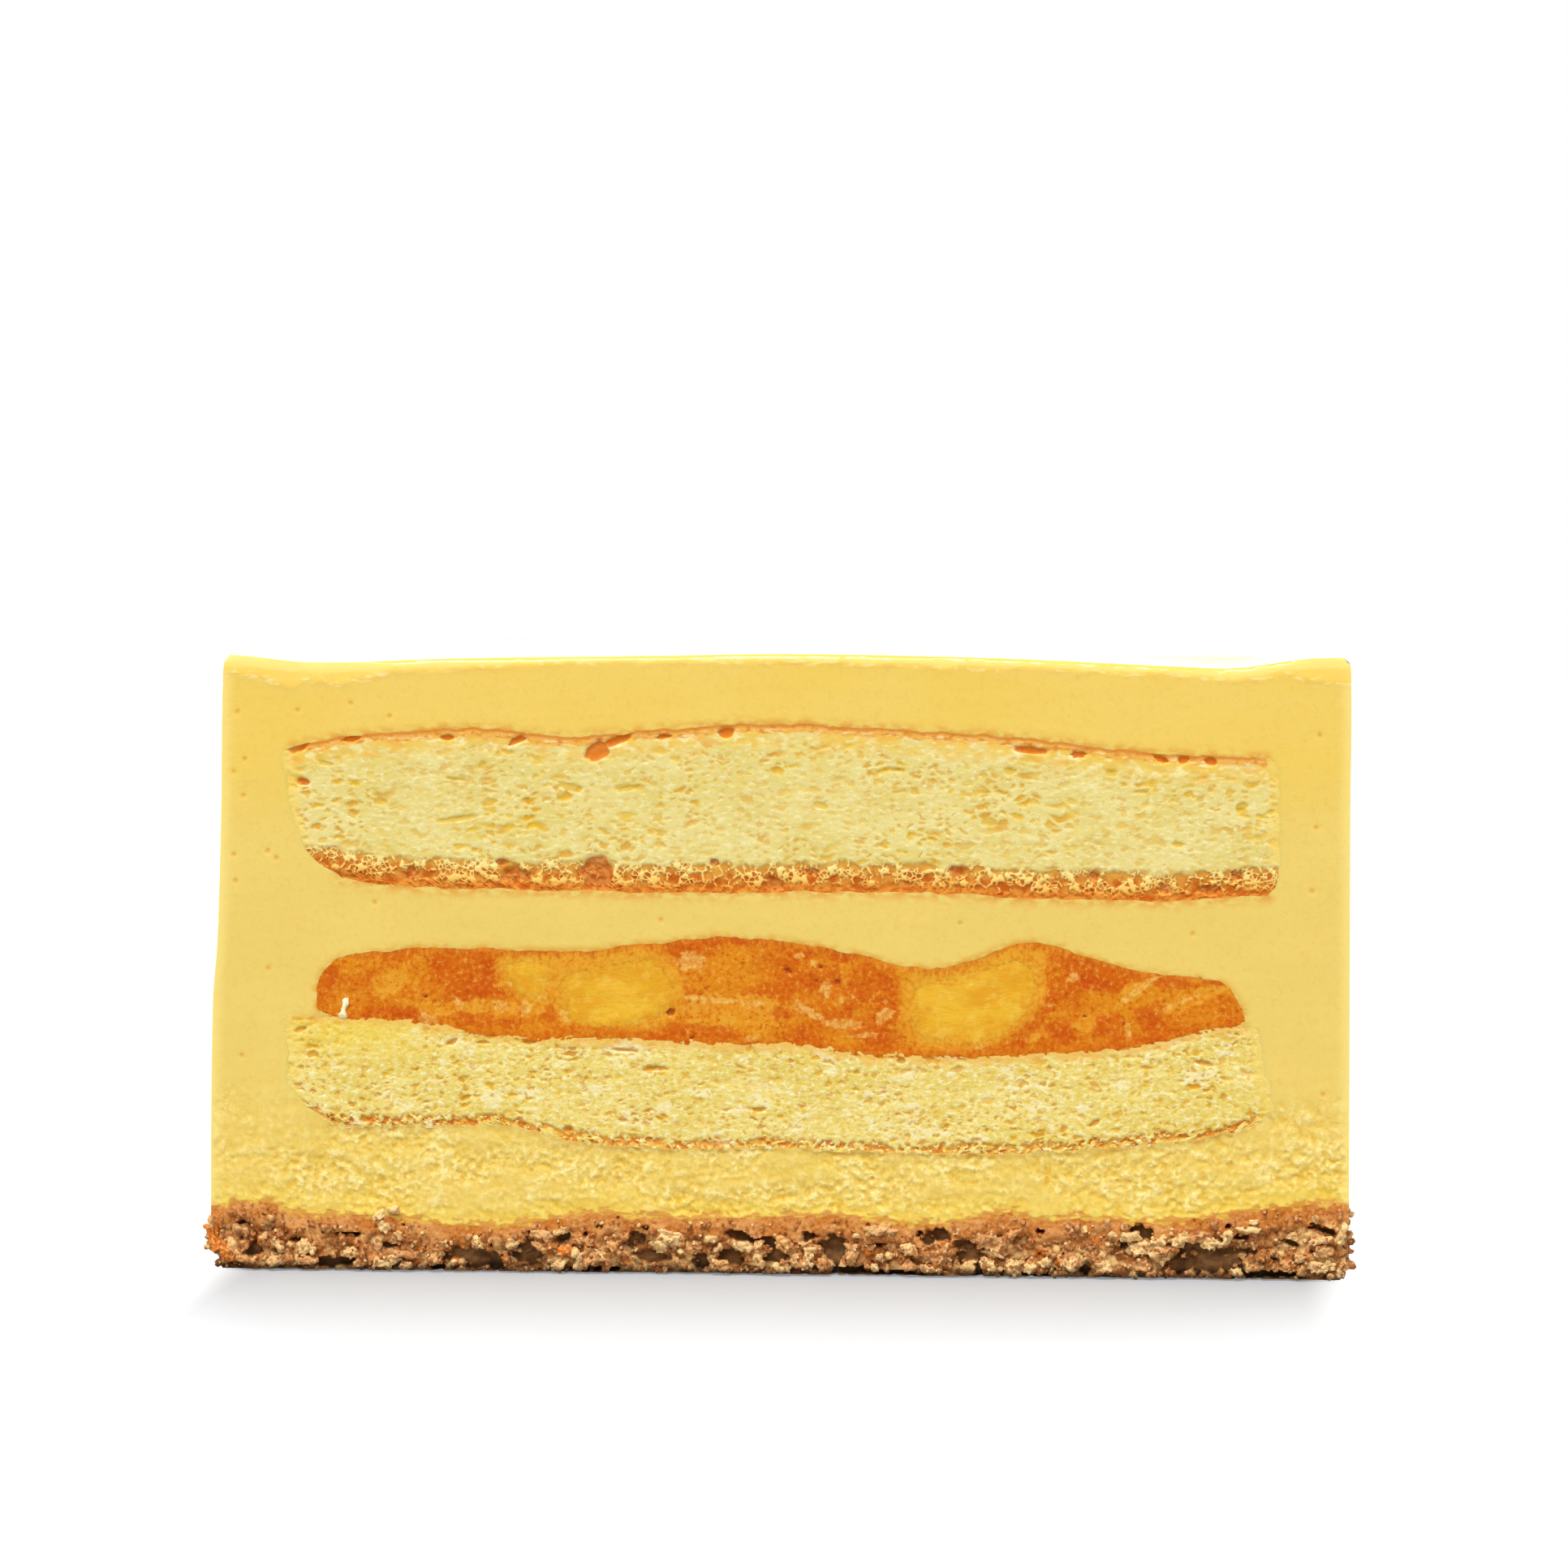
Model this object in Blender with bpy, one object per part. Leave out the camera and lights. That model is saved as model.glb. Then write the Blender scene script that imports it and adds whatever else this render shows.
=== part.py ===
"""Half of a round mango mousse cake on a crumb base, cut straight through its middle.

The cake was set in a ring, so its plan is half a disc. The cut faces -Y and shows, from the top, mousse, a thick
sponge, mousse, a mango filling with pieces of fruit in it, a second sponge, mousse and the crumb base. Every layer
runs back through the cake and stops short of the rim, where the mousse closes round it.
The origin is on the table, midway between the cut and the back of the rim. Lengths are metres.
"""

import bisect
import math
import random

import bmesh
import bpy
from mathutils import Euler, Matrix, Vector, noise
from mathutils.geometry import delaunay_2d_cdt

MM = 0.001

# Driving dimensions
RING_RADIUS = 70 * MM
CAKE_HEIGHT = 77 * MM
CUT_Y = -RING_RADIUS / 2
HALF_GAP = 0.2 * MM
CUT_EDGE_REACH = 10 * MM
WAVE_REACH = 16 * MM
POCKET_OPENING = 5 * MM

# Steps round the plan: along the cut and round the rim, for the outer layers and for those inside
OUTER_STEPS = (64, 76)
INNER_STEPS = (36, 26)
# Rows of points across a layer's flat sides: distance behind the cut, and the step between points
CAP_ROWS = [(3.5, 5), (9, 7), (18, 10), (30, 13), (44, 16), (57, 18)]
CAP_MARGIN = 3 * MM

# Reach of each layer from the middle of the cut, as (share of its height, left mm, right mm), from its foot up
MOUSSE_ENDS = [(0, 69.9, 70), (0.37, 69.6, 70), (0.48, 69, 70), (0.7, 68.5, 70), (0.985, 68.1, 70), (1, 67.4, 69.2)]
UPPER_SPONGE_ENDS = [
    (0, 53.5, 60.0), (0.07, 56.2, 61.1), (0.2, 58.0, 61.4), (0.45, 59.5, 61.5), (0.72, 60.2, 61.4), (0.9, 60.8, 61.2),
    (0.97, 60.6, 60.7), (1, 59.6, 59.7),
]
FILLING_ENDS = [
    (0, 54.6, 55.6), (0.08, 56.2, 57.2), (0.25, 56.6, 57.1), (0.5, 56.5, 56.5), (0.72, 55.8, 55.8), (0.88, 54.2, 54.8),
    (0.96, 52.6, 53.6), (1, 50.4, 51.8),
]
LOWER_SPONGE_ENDS = [
    (0, 56.2, 58.0), (0.06, 58.2, 59.6), (0.18, 59.6, 60.6), (0.35, 60.2, 60.3), (0.6, 60.3, 59.6), (0.85, 60.7, 59.3),
    (0.95, 60.5, 58.9), (1, 59.8, 57.8),
]
BASE_ENDS = [
    (0, 68.6, 69.3), (0.12, 69.4, 69.7), (0.26, 70, 69.9), (0.42, 70.2, 70), (0.58, 70.2, 70), (0.72, 70, 70),
    (0.86, 69.9, 70), (1, 69.9, 70),
]

# Heights across the cut, as (x, z) in millimetres, from left to right
TOP_EDGE = [(-68, 75.8), (-57, 74.9), (-39, 75.4), (-12, 75.8), (2, 76.0), (27, 75.5), (49, 74.5), (56, 74.3), (67, 75.6)]
UPPER_SPONGE_TOP = [
    (-60, 64.6), (-53, 65.7), (-37, 66.8), (-25, 65.8), (-12, 66.8), (1, 67.4), (14, 66.7), (27, 66.0), (47, 63.9),
    (61, 63.4),
]
UPPER_SPONGE_BOTTOM = [(-58, 49.0), (-48, 47.6), (-35, 47.1), (-12, 46.8), (15, 46.9), (42, 46.0), (60, 46.6)]
FILLING_TOP = [
    (-56, 39.0), (-41, 39.8), (-24, 39.5), (-14, 40.6), (-5, 41.3), (7, 39.9), (16, 37.8), (22, 38.0), (31, 40.8),
    (38, 39.2), (46, 37.2), (57, 36.4),
]
FILLING_BOTTOM = [
    (-57, 31.4), (-44, 30.6), (-32, 28.9), (-19, 28.8), (-4, 28.2), (3, 28.4), (9, 27.3), (24, 27.0), (43, 28.1),
    (57, 30.8),
]
LOWER_SPONGE_BOTTOM = [
    (-60, 20.2), (-54, 18.1), (-33, 18.0), (-26, 16.3), (-19, 15.6), (1, 15.5), (25, 15.0), (41, 15.9), (52, 17.0),
    (60, 18.8),
]
BASE_TOP = [
    (-70, 7.8), (-64, 8.5), (-58, 6.8), (-48, 6.8), (-40, 5.7), (-32, 5.8), (-23, 7.2), (-8, 6.8), (8, 7.3), (19, 6.3),
    (29, 7.9), (33, 6.8), (39, 7.4), (46, 6.8), (57, 8.2), (70, 9.4),
]

# Outlines of the fruit that the cut goes through, as (x, z) in millimetres, going round
FRUIT_PIECES = {
    "mango_piece_left": [(-33.2, 38.0), (-32.4, 35.0), (-29.4, 33.6), (-27.8, 35.4), (-27.4, 37.6), (-30.0, 38.6)],
    "mango_piece_middle": [
        (-26.0, 36.8), (-26.4, 33.6), (-24.6, 30.6), (-18.4, 30.2), (-13.8, 31.8), (-12.2, 34.4), (-13.4, 37.2),
        (-16.0, 38.8), (-20.6, 38.0),
    ],
    "mango_piece_right": [
        (17.6, 36.2), (16.6, 32.8), (18.2, 28.9), (25.4, 28.5), (29.2, 30.4), (31.8, 33.8), (31.7, 37.4), (29.4, 39.0),
        (25.6, 37.8), (21.8, 36.7),
    ],
}
FRUIT_DEPTHS = [(0, 1.0), (3, 0.98), (5.5, 0.9), (7.2, 0.74), (8, 0.5)]
FRUIT_OUTLINE_STEPS = 3

# Crumb of the base: how far it stands out of the ring's line, and each size of lump with how many show
CRUMB_PROUD = 0.7 * MM
CRUMB_STRETCH = 1.2
CRUMB_KINDS = ((1.75 * MM, 26), (1.35 * MM, 44), (1.05 * MM, 30))
TABLE_CLEARANCE = 0.15 * MM
# Relief of the wall between the lumps: scale of the crags, and how far they go in millimetres
COARSE_CRAG = 4.5 * MM
FINE_CRAG = 1.9 * MM
FOOT_HOLLOW_SPACING = 7 * MM
FOOT_SHARE = 0.3
CRAG_SET_BACK = 0.7
CRAG_LIMIT = 0.4
SEED = 11


def clear_scene():
    """Removes whatever the scene holds."""
    for old in list(bpy.data.objects):
        bpy.data.objects.remove(old)


def curve_through(points_mm):
    """A smooth height over x that passes through the given points and runs level past both ends."""
    xs = [x * MM for x, _ in points_mm]
    zs = [z * MM for _, z in points_mm]
    last = len(xs) - 1
    slopes = [0.0] + [(zs[i + 1] - zs[i - 1]) / (xs[i + 1] - xs[i - 1]) for i in range(1, last)] + [0.0]

    def height(x):
        if x <= xs[0]:
            return zs[0]
        if x >= xs[last]:
            return zs[last]
        i = bisect.bisect_right(xs, x) - 1
        span = xs[i + 1] - xs[i]
        t = (x - xs[i]) / span
        start = zs[i] * (1 + 2 * t) * (1 - t) ** 2 + slopes[i] * span * t * (1 - t) ** 2
        end = zs[i + 1] * t * t * (3 - 2 * t) + slopes[i + 1] * span * t * t * (t - 1)
        return start + end

    return height


def layer_surface(points_mm, lift=0.0):
    """A height over the plan: the line seen at the cut, whose waves die out to a gentle slope behind it."""
    line = curve_through(points_mm)
    middle = sum(z for _, z in points_mm) / len(points_mm) * MM
    slope = 0.5 * (points_mm[-1][1] - points_mm[0][1]) * MM / RING_RADIUS

    def height(x, y):
        behind = max(0.0, y - CUT_Y)
        wave = math.exp(-((behind / WAVE_REACH) ** 2))
        return wave * line(x) + (1 - wave) * (middle + slope * x) + lift

    return height


def cake_top(x, y):
    """The flat top, which the knife has drawn down to an uneven edge along the cut."""
    drop = CAKE_HEIGHT - curve_through(TOP_EDGE)(x)
    behind = max(0.0, y - CUT_Y) / CUT_EDGE_REACH
    return CAKE_HEIGHT - drop * math.exp(-2.5 * behind * behind)


def table(_x, _y):
    """The plane that the cake stands on."""
    return 0.0


def plan_loop(left, right, steps, front_y):
    """Plan points round half a disc: along the cut from left to right, then round the rim back to the left."""
    columns, spokes = steps
    loop = [(-left + (left + right) * i / columns, front_y) for i in range(columns + 1)]
    shared = 0 if front_y < CUT_Y else 1
    for k in range(shared, spokes + 1 - shared):
        angle = math.pi * k / spokes
        reach = right + (left - right) * (0.5 - 0.5 * math.cos(angle))
        loop.append((reach * math.cos(angle), CUT_Y + reach * math.sin(angle)))
    return loop


def cap_points(radius):
    """Plan points inside half a disc of this radius, close together near the cut and sparse behind it."""
    points = []
    for depth, step in ((d * MM, s * MM) for d, s in CAP_ROWS):
        if depth > radius - step / 2:
            break
        half = math.sqrt(radius * radius - depth * depth) - step / 3
        count = max(1, round(2 * half / step))
        points += [(-half + 2 * half * i / count, CUT_Y + depth) for i in range(count + 1)]
    return points


def add_cap(bm, ring, inner, height, up):
    """Closes a ring of vertices with triangles over it and over inner plan points, which take z from height."""
    verts = ring + [bm.verts.new((x, y, height(x, y))) for x, y in inner]
    edges = [(i, (i + 1) % len(ring)) for i in range(len(ring))]
    flat = [Vector(vert.co[:2]) for vert in verts]
    made = delaunay_2d_cdt(flat, edges, [], 1, 1e-7)
    triangles, sources = made[2], made[3]
    for triangle in triangles:
        corners = [verts[sources[i][0]] for i in triangle]
        bm.faces.new(corners if up else corners[::-1])


def half_disc(ends, bottom, top, steps, grow=0.0, front_y=CUT_Y, relief=None):
    """A closed layer with the plan of half a disc, whose wall follows the ends table from its foot to its head."""
    bm = bmesh.new()
    rings = []
    for share, left, right in ends:
        ring = []
        for x, y in plan_loop(left * MM + grow, right * MM + grow, steps, front_y):
            point = Vector((x, y, bottom(x, y) * (1 - share) + top(x, y) * share))
            ring.append(bm.verts.new(relief(point, share) if relief else point))
        rings.append(ring)
    for low, high in zip(rings, rings[1:]):
        for i in range(len(low)):
            j = (i + 1) % len(low)
            bm.faces.new((low[i], low[j], high[j], high[i]))
    for ring, end, height, up in ((rings[0], ends[0], bottom, False), (rings[-1], ends[-1], top, True)):
        add_cap(bm, ring, cap_points(min(end[1:]) * MM - CAP_MARGIN), height, up)
    return bm


def paint(obj, colour, roughness):
    """Gives an object its own plain material."""
    material = bpy.data.materials.new(obj.name)
    material.use_nodes = True
    shader = material.node_tree.nodes["Principled BSDF"]
    shader.inputs["Base Color"].default_value = (*colour, 1.0)
    shader.inputs["Roughness"].default_value = roughness
    shader.inputs["Metallic"].default_value = 0.0
    obj.data.materials.append(material)


def as_object(name, bm, collection=None):
    """Makes a mesh object from bm, smooth where its faces meet gently."""
    mesh = bpy.data.meshes.new(name)
    bm.to_mesh(mesh)
    bm.free()
    mesh.shade_smooth()
    mesh.set_sharp_from_angle(angle=math.radians(35))
    obj = bpy.data.objects.new(name, mesh)
    (collection or bpy.context.scene.collection).objects.link(obj)
    return obj


def cut_with(obj, cutter):
    """Cuts the cutter's shape out of obj and keeps the cutter as a hidden helper."""
    cutter.hide_render = True
    cutter.display_type = "WIRE"
    modifier = obj.modifiers.new(cutter.name, "BOOLEAN")
    modifier.operation = "DIFFERENCE"
    modifier.solver = "EXACT"
    modifier.object = cutter


def add_inner_layer(name, ends, bottom_mm, top_mm, mousse, colour, roughness):
    """A layer inside the mousse, in a pocket that is larger than it all round by the gap."""
    body = half_disc(ends, layer_surface(bottom_mm, HALF_GAP), layer_surface(top_mm, -HALF_GAP), INNER_STEPS)
    layer = as_object(name, body)
    paint(layer, colour, roughness)
    space = half_disc(
        ends,
        layer_surface(bottom_mm, -HALF_GAP),
        layer_surface(top_mm, HALF_GAP),
        INNER_STEPS,
        grow=2 * HALF_GAP,
        front_y=CUT_Y - POCKET_OPENING,
    )
    cut_with(mousse, as_object("pocket_for_" + name, space))
    return layer


def smooth_outline(corners_mm):
    """A closed curve through the corners, as points (x, z) in metres."""
    points = [Vector((x * MM, z * MM)) for x, z in corners_mm]
    count = len(points)
    outline = []
    for i in range(count):
        before, start, end, after = (points[(i + k) % count] for k in (-1, 0, 1, 2))
        for k in range(FRUIT_OUTLINE_STEPS):
            t = k / FRUIT_OUTLINE_STEPS
            bend = (2 * before - 5 * start + 4 * end - after) * t + (3 * start - before - 3 * end + after) * t * t
            outline.append(start + 0.5 * t * ((end - before) + bend))
    return outline


def fruit_piece(corners_mm, grow=0.0, opening=0.0):
    """A piece of fruit that the knife went through: its outline at the cut, drawn in towards its round back."""
    outline = smooth_outline(corners_mm)
    middle = sum(outline, Vector((0, 0))) / len(outline)
    rows = [(CUT_Y - opening, 1.0)] + [(CUT_Y + depth * MM + grow, scale) for depth, scale in FRUIT_DEPTHS[1:]]
    bm = bmesh.new()
    rings = []
    for y, scale in rows:
        ring = []
        for point in outline:
            arm = (point - middle) * scale
            arm += arm.normalized() * grow
            ring.append(bm.verts.new((middle.x + arm.x, y, middle.y + arm.y)))
        rings.append(ring)
    count = len(outline)
    for near, far in zip(rings, rings[1:]):
        for i in range(count):
            j = (i + 1) % count
            bm.faces.new((near[i], near[j], far[j], far[i]))
    bm.faces.new(rings[0][::-1])
    bm.faces.new(rings[-1])
    bmesh.ops.recalc_face_normals(bm, faces=bm.faces)
    return bm


def add_fruit(name, corners_mm, filling):
    """A piece of fruit in its own pocket in the filling."""
    piece = as_object(name, fruit_piece(corners_mm))
    paint(piece, (0.82, 0.43, 0.025), 0.3)
    room = fruit_piece(corners_mm, grow=2 * HALF_GAP, opening=POCKET_OPENING)
    cut_with(filling, as_object("pocket_for_" + name, room))


def crag(point, share):
    """Moves a point of the base's wall in or out: broken crumb all the way up, hollowed at its foot."""
    on_cut = point.y < CUT_Y + 0.01 * MM
    at_corner = on_cut and abs(point.x) > RING_RADIUS - 1.5 * MM
    outward = Vector((point.x, point.y - CUT_Y, 0.0)).normalized()
    if at_corner:
        outward = Vector((math.copysign(0.7, point.x), -0.7, 0.0))
    elif on_cut:
        outward = Vector((0.0, -1.0, 0.0))
    coarse = noise.noise(point / COARSE_CRAG)
    fine = noise.noise(point / FINE_CRAG + Vector((9.0, 0.0, 0.0)))
    foot = max(0.0, 1.0 - share / FOOT_SHARE)
    hollow = foot * (0.8 + 1.6 * max(0.0, noise.noise(point / FOOT_HOLLOW_SPACING)))
    belly = 4 * share * (1 - share)
    move = belly * min(CRAG_LIMIT, 1.3 * coarse + 0.7 * fine - CRAG_SET_BACK) - hollow
    return point + outward * move * MM


def add_crumb(rng, centre, size, collection):
    """One broken lump of crumb: a jittered, stretched twenty-sided ball."""
    bm = bmesh.new()
    bmesh.ops.create_icosphere(bm, subdivisions=1, radius=size)
    for vert in bm.verts:
        vert.co *= rng.uniform(0.75, 1.0)
    stretch = Matrix.Diagonal((rng.uniform(0.9, CRUMB_STRETCH), rng.uniform(0.7, 1.0), rng.uniform(0.75, 1.0), 1.0))
    turn = Euler([rng.uniform(0, math.tau) for _ in range(3)]).to_matrix().to_4x4()
    bm.transform(Matrix.Translation(centre) @ turn @ stretch)
    as_object(f"crumb_{len(collection.objects):03d}", bm, collection)


def crumb_place(rng, along, size):
    """A centre for a crumb, sunk in the base's wall under the mousse. along goes from 0 to 1 round the whole plan."""
    reach = size * CRUMB_STRETCH
    line = RING_RADIUS + CRUMB_PROUD * rng.uniform(0.3, 1.0) - reach
    way = along * (2 + math.pi)
    if way < 2:
        x, y = (way - 1) * line, CUT_Y + RING_RADIUS - line
    else:
        x, y = line * math.cos(way - 2), CUT_Y + max(RING_RADIUS - line, line * math.sin(way - 2))
    ceiling = min(layer_surface(BASE_TOP, -HALF_GAP)(x + side * reach, y) for side in (-1, 0, 1))
    lowest = reach + TABLE_CLEARANCE
    highest = ceiling - reach - HALF_GAP
    return Vector((x, y, lowest + rng.random() * max(0.0, highest - lowest)))


def fuse_crumbs(base):
    """Joins lumps of crumb to the base's wall in one union, spread evenly, the largest first."""
    rng = random.Random(SEED)
    crumbs = bpy.data.collections.new("crumbs")
    bpy.context.scene.collection.children.link(crumbs)
    for size, count in CRUMB_KINDS:
        for i in range(count):
            own = size * rng.uniform(0.85, 1.1)
            along = (i + rng.uniform(0.1, 0.9)) / count
            add_crumb(rng, crumb_place(rng, along, own), own, crumbs)
    union = base.modifiers.new("crumbs", "BOOLEAN")
    union.operation = "UNION"
    union.operand_type = "COLLECTION"
    union.collection = crumbs
    union.solver = "EXACT"
    bpy.context.view_layer.objects.active = base
    bpy.ops.object.modifier_apply(modifier=union.name)
    for crumb in list(crumbs.objects):
        bpy.data.objects.remove(crumb)
    bpy.data.collections.remove(crumbs)


def keep_largest_part(obj):
    """Drops every scrap of a mesh that isn't joined to its largest part."""
    bm = bmesh.new()
    bm.from_mesh(obj.data)
    unseen, parts = set(bm.verts), []
    while unseen:
        stack, part = [unseen.pop()], []
        while stack:
            vert = stack.pop()
            part.append(vert)
            for edge in vert.link_edges:
                other = edge.other_vert(vert)
                if other in unseen:
                    unseen.remove(other)
                    stack.append(other)
        parts.append(part)
    parts.sort(key=len, reverse=True)
    for part in parts[1:]:
        bmesh.ops.delete(bm, geom=part, context="VERTS")
    bm.to_mesh(obj.data)
    bm.free()


def add_mousse():
    """The mousse that fills the ring, down to the crumb base."""
    mousse = as_object("mousse", half_disc(MOUSSE_ENDS, layer_surface(BASE_TOP, HALF_GAP), cake_top, OUTER_STEPS))
    paint(mousse, (0.86, 0.62, 0.14), 0.45)
    return mousse


def add_base():
    """The base of pressed crumb, flat below, with a craggy wall all round."""
    body = half_disc(BASE_ENDS, table, layer_surface(BASE_TOP, -HALF_GAP), OUTER_STEPS, relief=crag)
    base = as_object("crumb_base", body)
    paint(base, (0.5, 0.24, 0.08), 0.9)
    fuse_crumbs(base)
    keep_largest_part(base)


def main():
    clear_scene()
    mousse = add_mousse()
    sponge_yellow = (0.81, 0.66, 0.25)
    add_inner_layer(
        "upper_sponge", UPPER_SPONGE_ENDS, UPPER_SPONGE_BOTTOM, UPPER_SPONGE_TOP, mousse, sponge_yellow, 0.9
    )
    add_inner_layer(
        "lower_sponge", LOWER_SPONGE_ENDS, LOWER_SPONGE_BOTTOM, FILLING_BOTTOM, mousse, sponge_yellow, 0.9
    )
    filling = add_inner_layer(
        "mango_filling", FILLING_ENDS, FILLING_BOTTOM, FILLING_TOP, mousse, (0.72, 0.25, 0.015), 0.3
    )
    for name, corners in FRUIT_PIECES.items():
        add_fruit(name, corners, filling)
    add_base()


main()
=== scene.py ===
# %% [markdown]
# # A cut half of a mango mousse cake
# The cake was set in a ring, turned out and cut through its middle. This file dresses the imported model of
# it: each layer gets a finely divided mesh with its own relief, and a finish built from nodes. All pieces
# keep the frame's place and size, so nothing has to be fitted afterwards.

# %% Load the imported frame
import functools
import math

import bmesh
import bpy
import numpy as np
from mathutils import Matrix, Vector, kdtree
from mathutils.bvhtree import BVHTree
from mathutils.geometry import delaunay_2d_cdt


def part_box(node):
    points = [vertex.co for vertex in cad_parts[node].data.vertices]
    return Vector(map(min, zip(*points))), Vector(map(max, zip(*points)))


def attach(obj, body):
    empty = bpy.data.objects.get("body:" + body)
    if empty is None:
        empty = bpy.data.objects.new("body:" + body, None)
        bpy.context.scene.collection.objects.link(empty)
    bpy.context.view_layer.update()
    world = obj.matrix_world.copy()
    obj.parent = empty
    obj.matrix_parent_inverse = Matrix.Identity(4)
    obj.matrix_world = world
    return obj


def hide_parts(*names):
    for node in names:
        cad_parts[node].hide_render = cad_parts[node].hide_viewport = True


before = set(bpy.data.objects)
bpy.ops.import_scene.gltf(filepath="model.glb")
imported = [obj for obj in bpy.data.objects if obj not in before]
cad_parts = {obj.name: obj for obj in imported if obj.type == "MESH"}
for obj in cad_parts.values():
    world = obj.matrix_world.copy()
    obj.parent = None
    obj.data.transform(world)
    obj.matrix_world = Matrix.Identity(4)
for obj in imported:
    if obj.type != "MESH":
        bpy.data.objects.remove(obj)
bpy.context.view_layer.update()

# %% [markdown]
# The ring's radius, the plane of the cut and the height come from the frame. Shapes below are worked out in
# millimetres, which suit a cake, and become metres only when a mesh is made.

MM = 0.001
mousse_low, mousse_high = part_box("mousse")
RADIUS = mousse_high.x / MM
CUT_Y = mousse_low.y / MM
CAKE_HEIGHT = mousse_high.z / MM
print(f"radius {RADIUS:.1f} mm, cut at y {CUT_Y:.1f} mm, height {CAKE_HEIGHT:.1f} mm")

# %% [markdown]
# ## Lines of the layers
# Each layer shows at the cut as a band between two wavy lines. A few heights along the cut, joined by
# smooth cubic pieces, are enough to draw such a line, and it stays easy to change. Behind the cut the waves
# die out, because the layers were spread level and only the knife and the ends made them uneven.

# %% Heights across the cut, as x and z in millimetres from left to right
WAVE_REACH = 16
CUT_EDGE_REACH = 10
TOP_EDGE = [
    (-68, 75.8), (-57, 74.9), (-39, 75.4), (-12, 75.8), (2, 76.0), (27, 75.5), (49, 74.5), (56, 74.3),
    (67, 75.6),
]
UPPER_SPONGE_TOP = [
    (-60, 64.6), (-53, 65.7), (-37, 66.8), (-25, 65.8), (-12, 66.8), (1, 67.4), (14, 66.7), (27, 66.0),
    (47, 63.9), (61, 63.4),
]
UPPER_SPONGE_BOTTOM = [(-58, 49.0), (-48, 47.6), (-35, 47.1), (-12, 46.8), (15, 46.9), (42, 46.0), (60, 46.6)]
FILLING_TOP = [
    (-56, 39.0), (-41, 39.8), (-24, 39.5), (-14, 40.6), (-5, 41.3), (7, 39.9), (16, 37.8), (22, 38.0),
    (31, 40.8), (38, 39.2), (46, 37.2), (57, 36.4),
]
FILLING_BOTTOM = [
    (-57, 31.4), (-44, 30.6), (-32, 28.9), (-19, 28.8), (-4, 28.2), (3, 28.4), (9, 27.3), (24, 27.0),
    (43, 28.1), (57, 30.8),
]
LOWER_SPONGE_BOTTOM = [
    (-60, 20.2), (-54, 18.1), (-33, 18.0), (-26, 16.3), (-19, 15.6), (1, 15.5), (25, 15.0), (41, 15.9),
    (52, 17.0), (60, 18.8),
]
BASE_TOP = [
    (-70, 7.8), (-64, 8.5), (-58, 6.8), (-48, 6.8), (-40, 5.7), (-32, 5.8), (-23, 7.2), (-8, 6.8), (8, 7.3),
    (19, 6.3), (29, 7.9), (33, 6.8), (39, 7.4), (46, 6.8), (57, 8.2), (70, 9.4),
]

# %% A smooth curve through points, and a surface that starts from such a line
def curve_through(points):
    """A smooth height over x that passes through the points and runs level past both ends."""
    xs, zs = np.array(points, float).T
    slopes = np.zeros_like(zs)
    slopes[1:-1] = (zs[2:] - zs[:-2]) / (xs[2:] - xs[:-2])

    def height(x):
        x = np.clip(x, xs[0], xs[-1])
        i = np.clip(np.searchsorted(xs, x, "right") - 1, 0, len(xs) - 2)
        span = xs[i + 1] - xs[i]
        t = (x - xs[i]) / span
        start = zs[i] * (1 + 2 * t) * (1 - t) ** 2 + slopes[i] * span * t * (1 - t) ** 2
        end = zs[i + 1] * t * t * (3 - 2 * t) + slopes[i + 1] * span * t * t * (t - 1)
        return start + end

    return height


def hump(distance, width):
    """1 at no distance, and less and less on both sides."""
    return np.exp(-((distance / width) ** 2))


def layer_surface(points):
    """A height over the plan: the line seen at the cut, whose waves die out to a gentle slope behind it."""
    line = curve_through(points)
    middle = sum(z for _, z in points) / len(points)
    slope = 0.5 * (points[-1][1] - points[0][1]) / RADIUS

    def height(x, y):
        wave = hump(np.maximum(0, y - CUT_Y), WAVE_REACH)
        return wave * line(x) + (1 - wave) * (middle + slope * x)

    return height


top_edge = curve_through(TOP_EDGE)
print(f"top edge runs from {top_edge(-68):.1f} to {top_edge(68):.1f} mm")


def cake_top(x, y):
    """The flat top, which the knife has drawn down to an uneven edge along the cut."""
    behind = np.maximum(0, y - CUT_Y) / CUT_EDGE_REACH
    return CAKE_HEIGHT - (CAKE_HEIGHT - top_edge(x)) * np.exp(-2.5 * behind * behind)


# %% [markdown]
# How far a layer reaches to the left and right changes with height: the sponges have rounded rims and the
# filling set with soft shoulders. A layer is one object here: two lines and two reaches. From a share of
# its width and a share of its height it gives a point, at the cut or behind it, where the plan is half a
# disc.

# %% Reach of each layer, as share of its height, left mm and right mm
MOUSSE_ENDS = [
    (0, 69.9, 70), (0.37, 69.6, 70), (0.48, 69, 70), (0.7, 68.5, 70), (0.985, 68.1, 70), (1, 67.4, 69.2),
]
UPPER_SPONGE_ENDS = [
    (0, 53.5, 60.0), (0.07, 56.2, 61.1), (0.2, 58.0, 61.4), (0.45, 59.5, 61.5), (0.72, 60.2, 61.4),
    (0.9, 60.8, 61.2), (0.97, 60.6, 60.7), (1, 59.6, 59.7),
]
FILLING_ENDS = [
    (0, 54.6, 55.6), (0.08, 56.2, 57.2), (0.25, 56.6, 57.1), (0.5, 56.5, 56.5), (0.72, 55.8, 55.8),
    (0.88, 54.2, 54.8), (0.96, 52.6, 53.6), (1, 50.4, 51.8),
]
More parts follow.
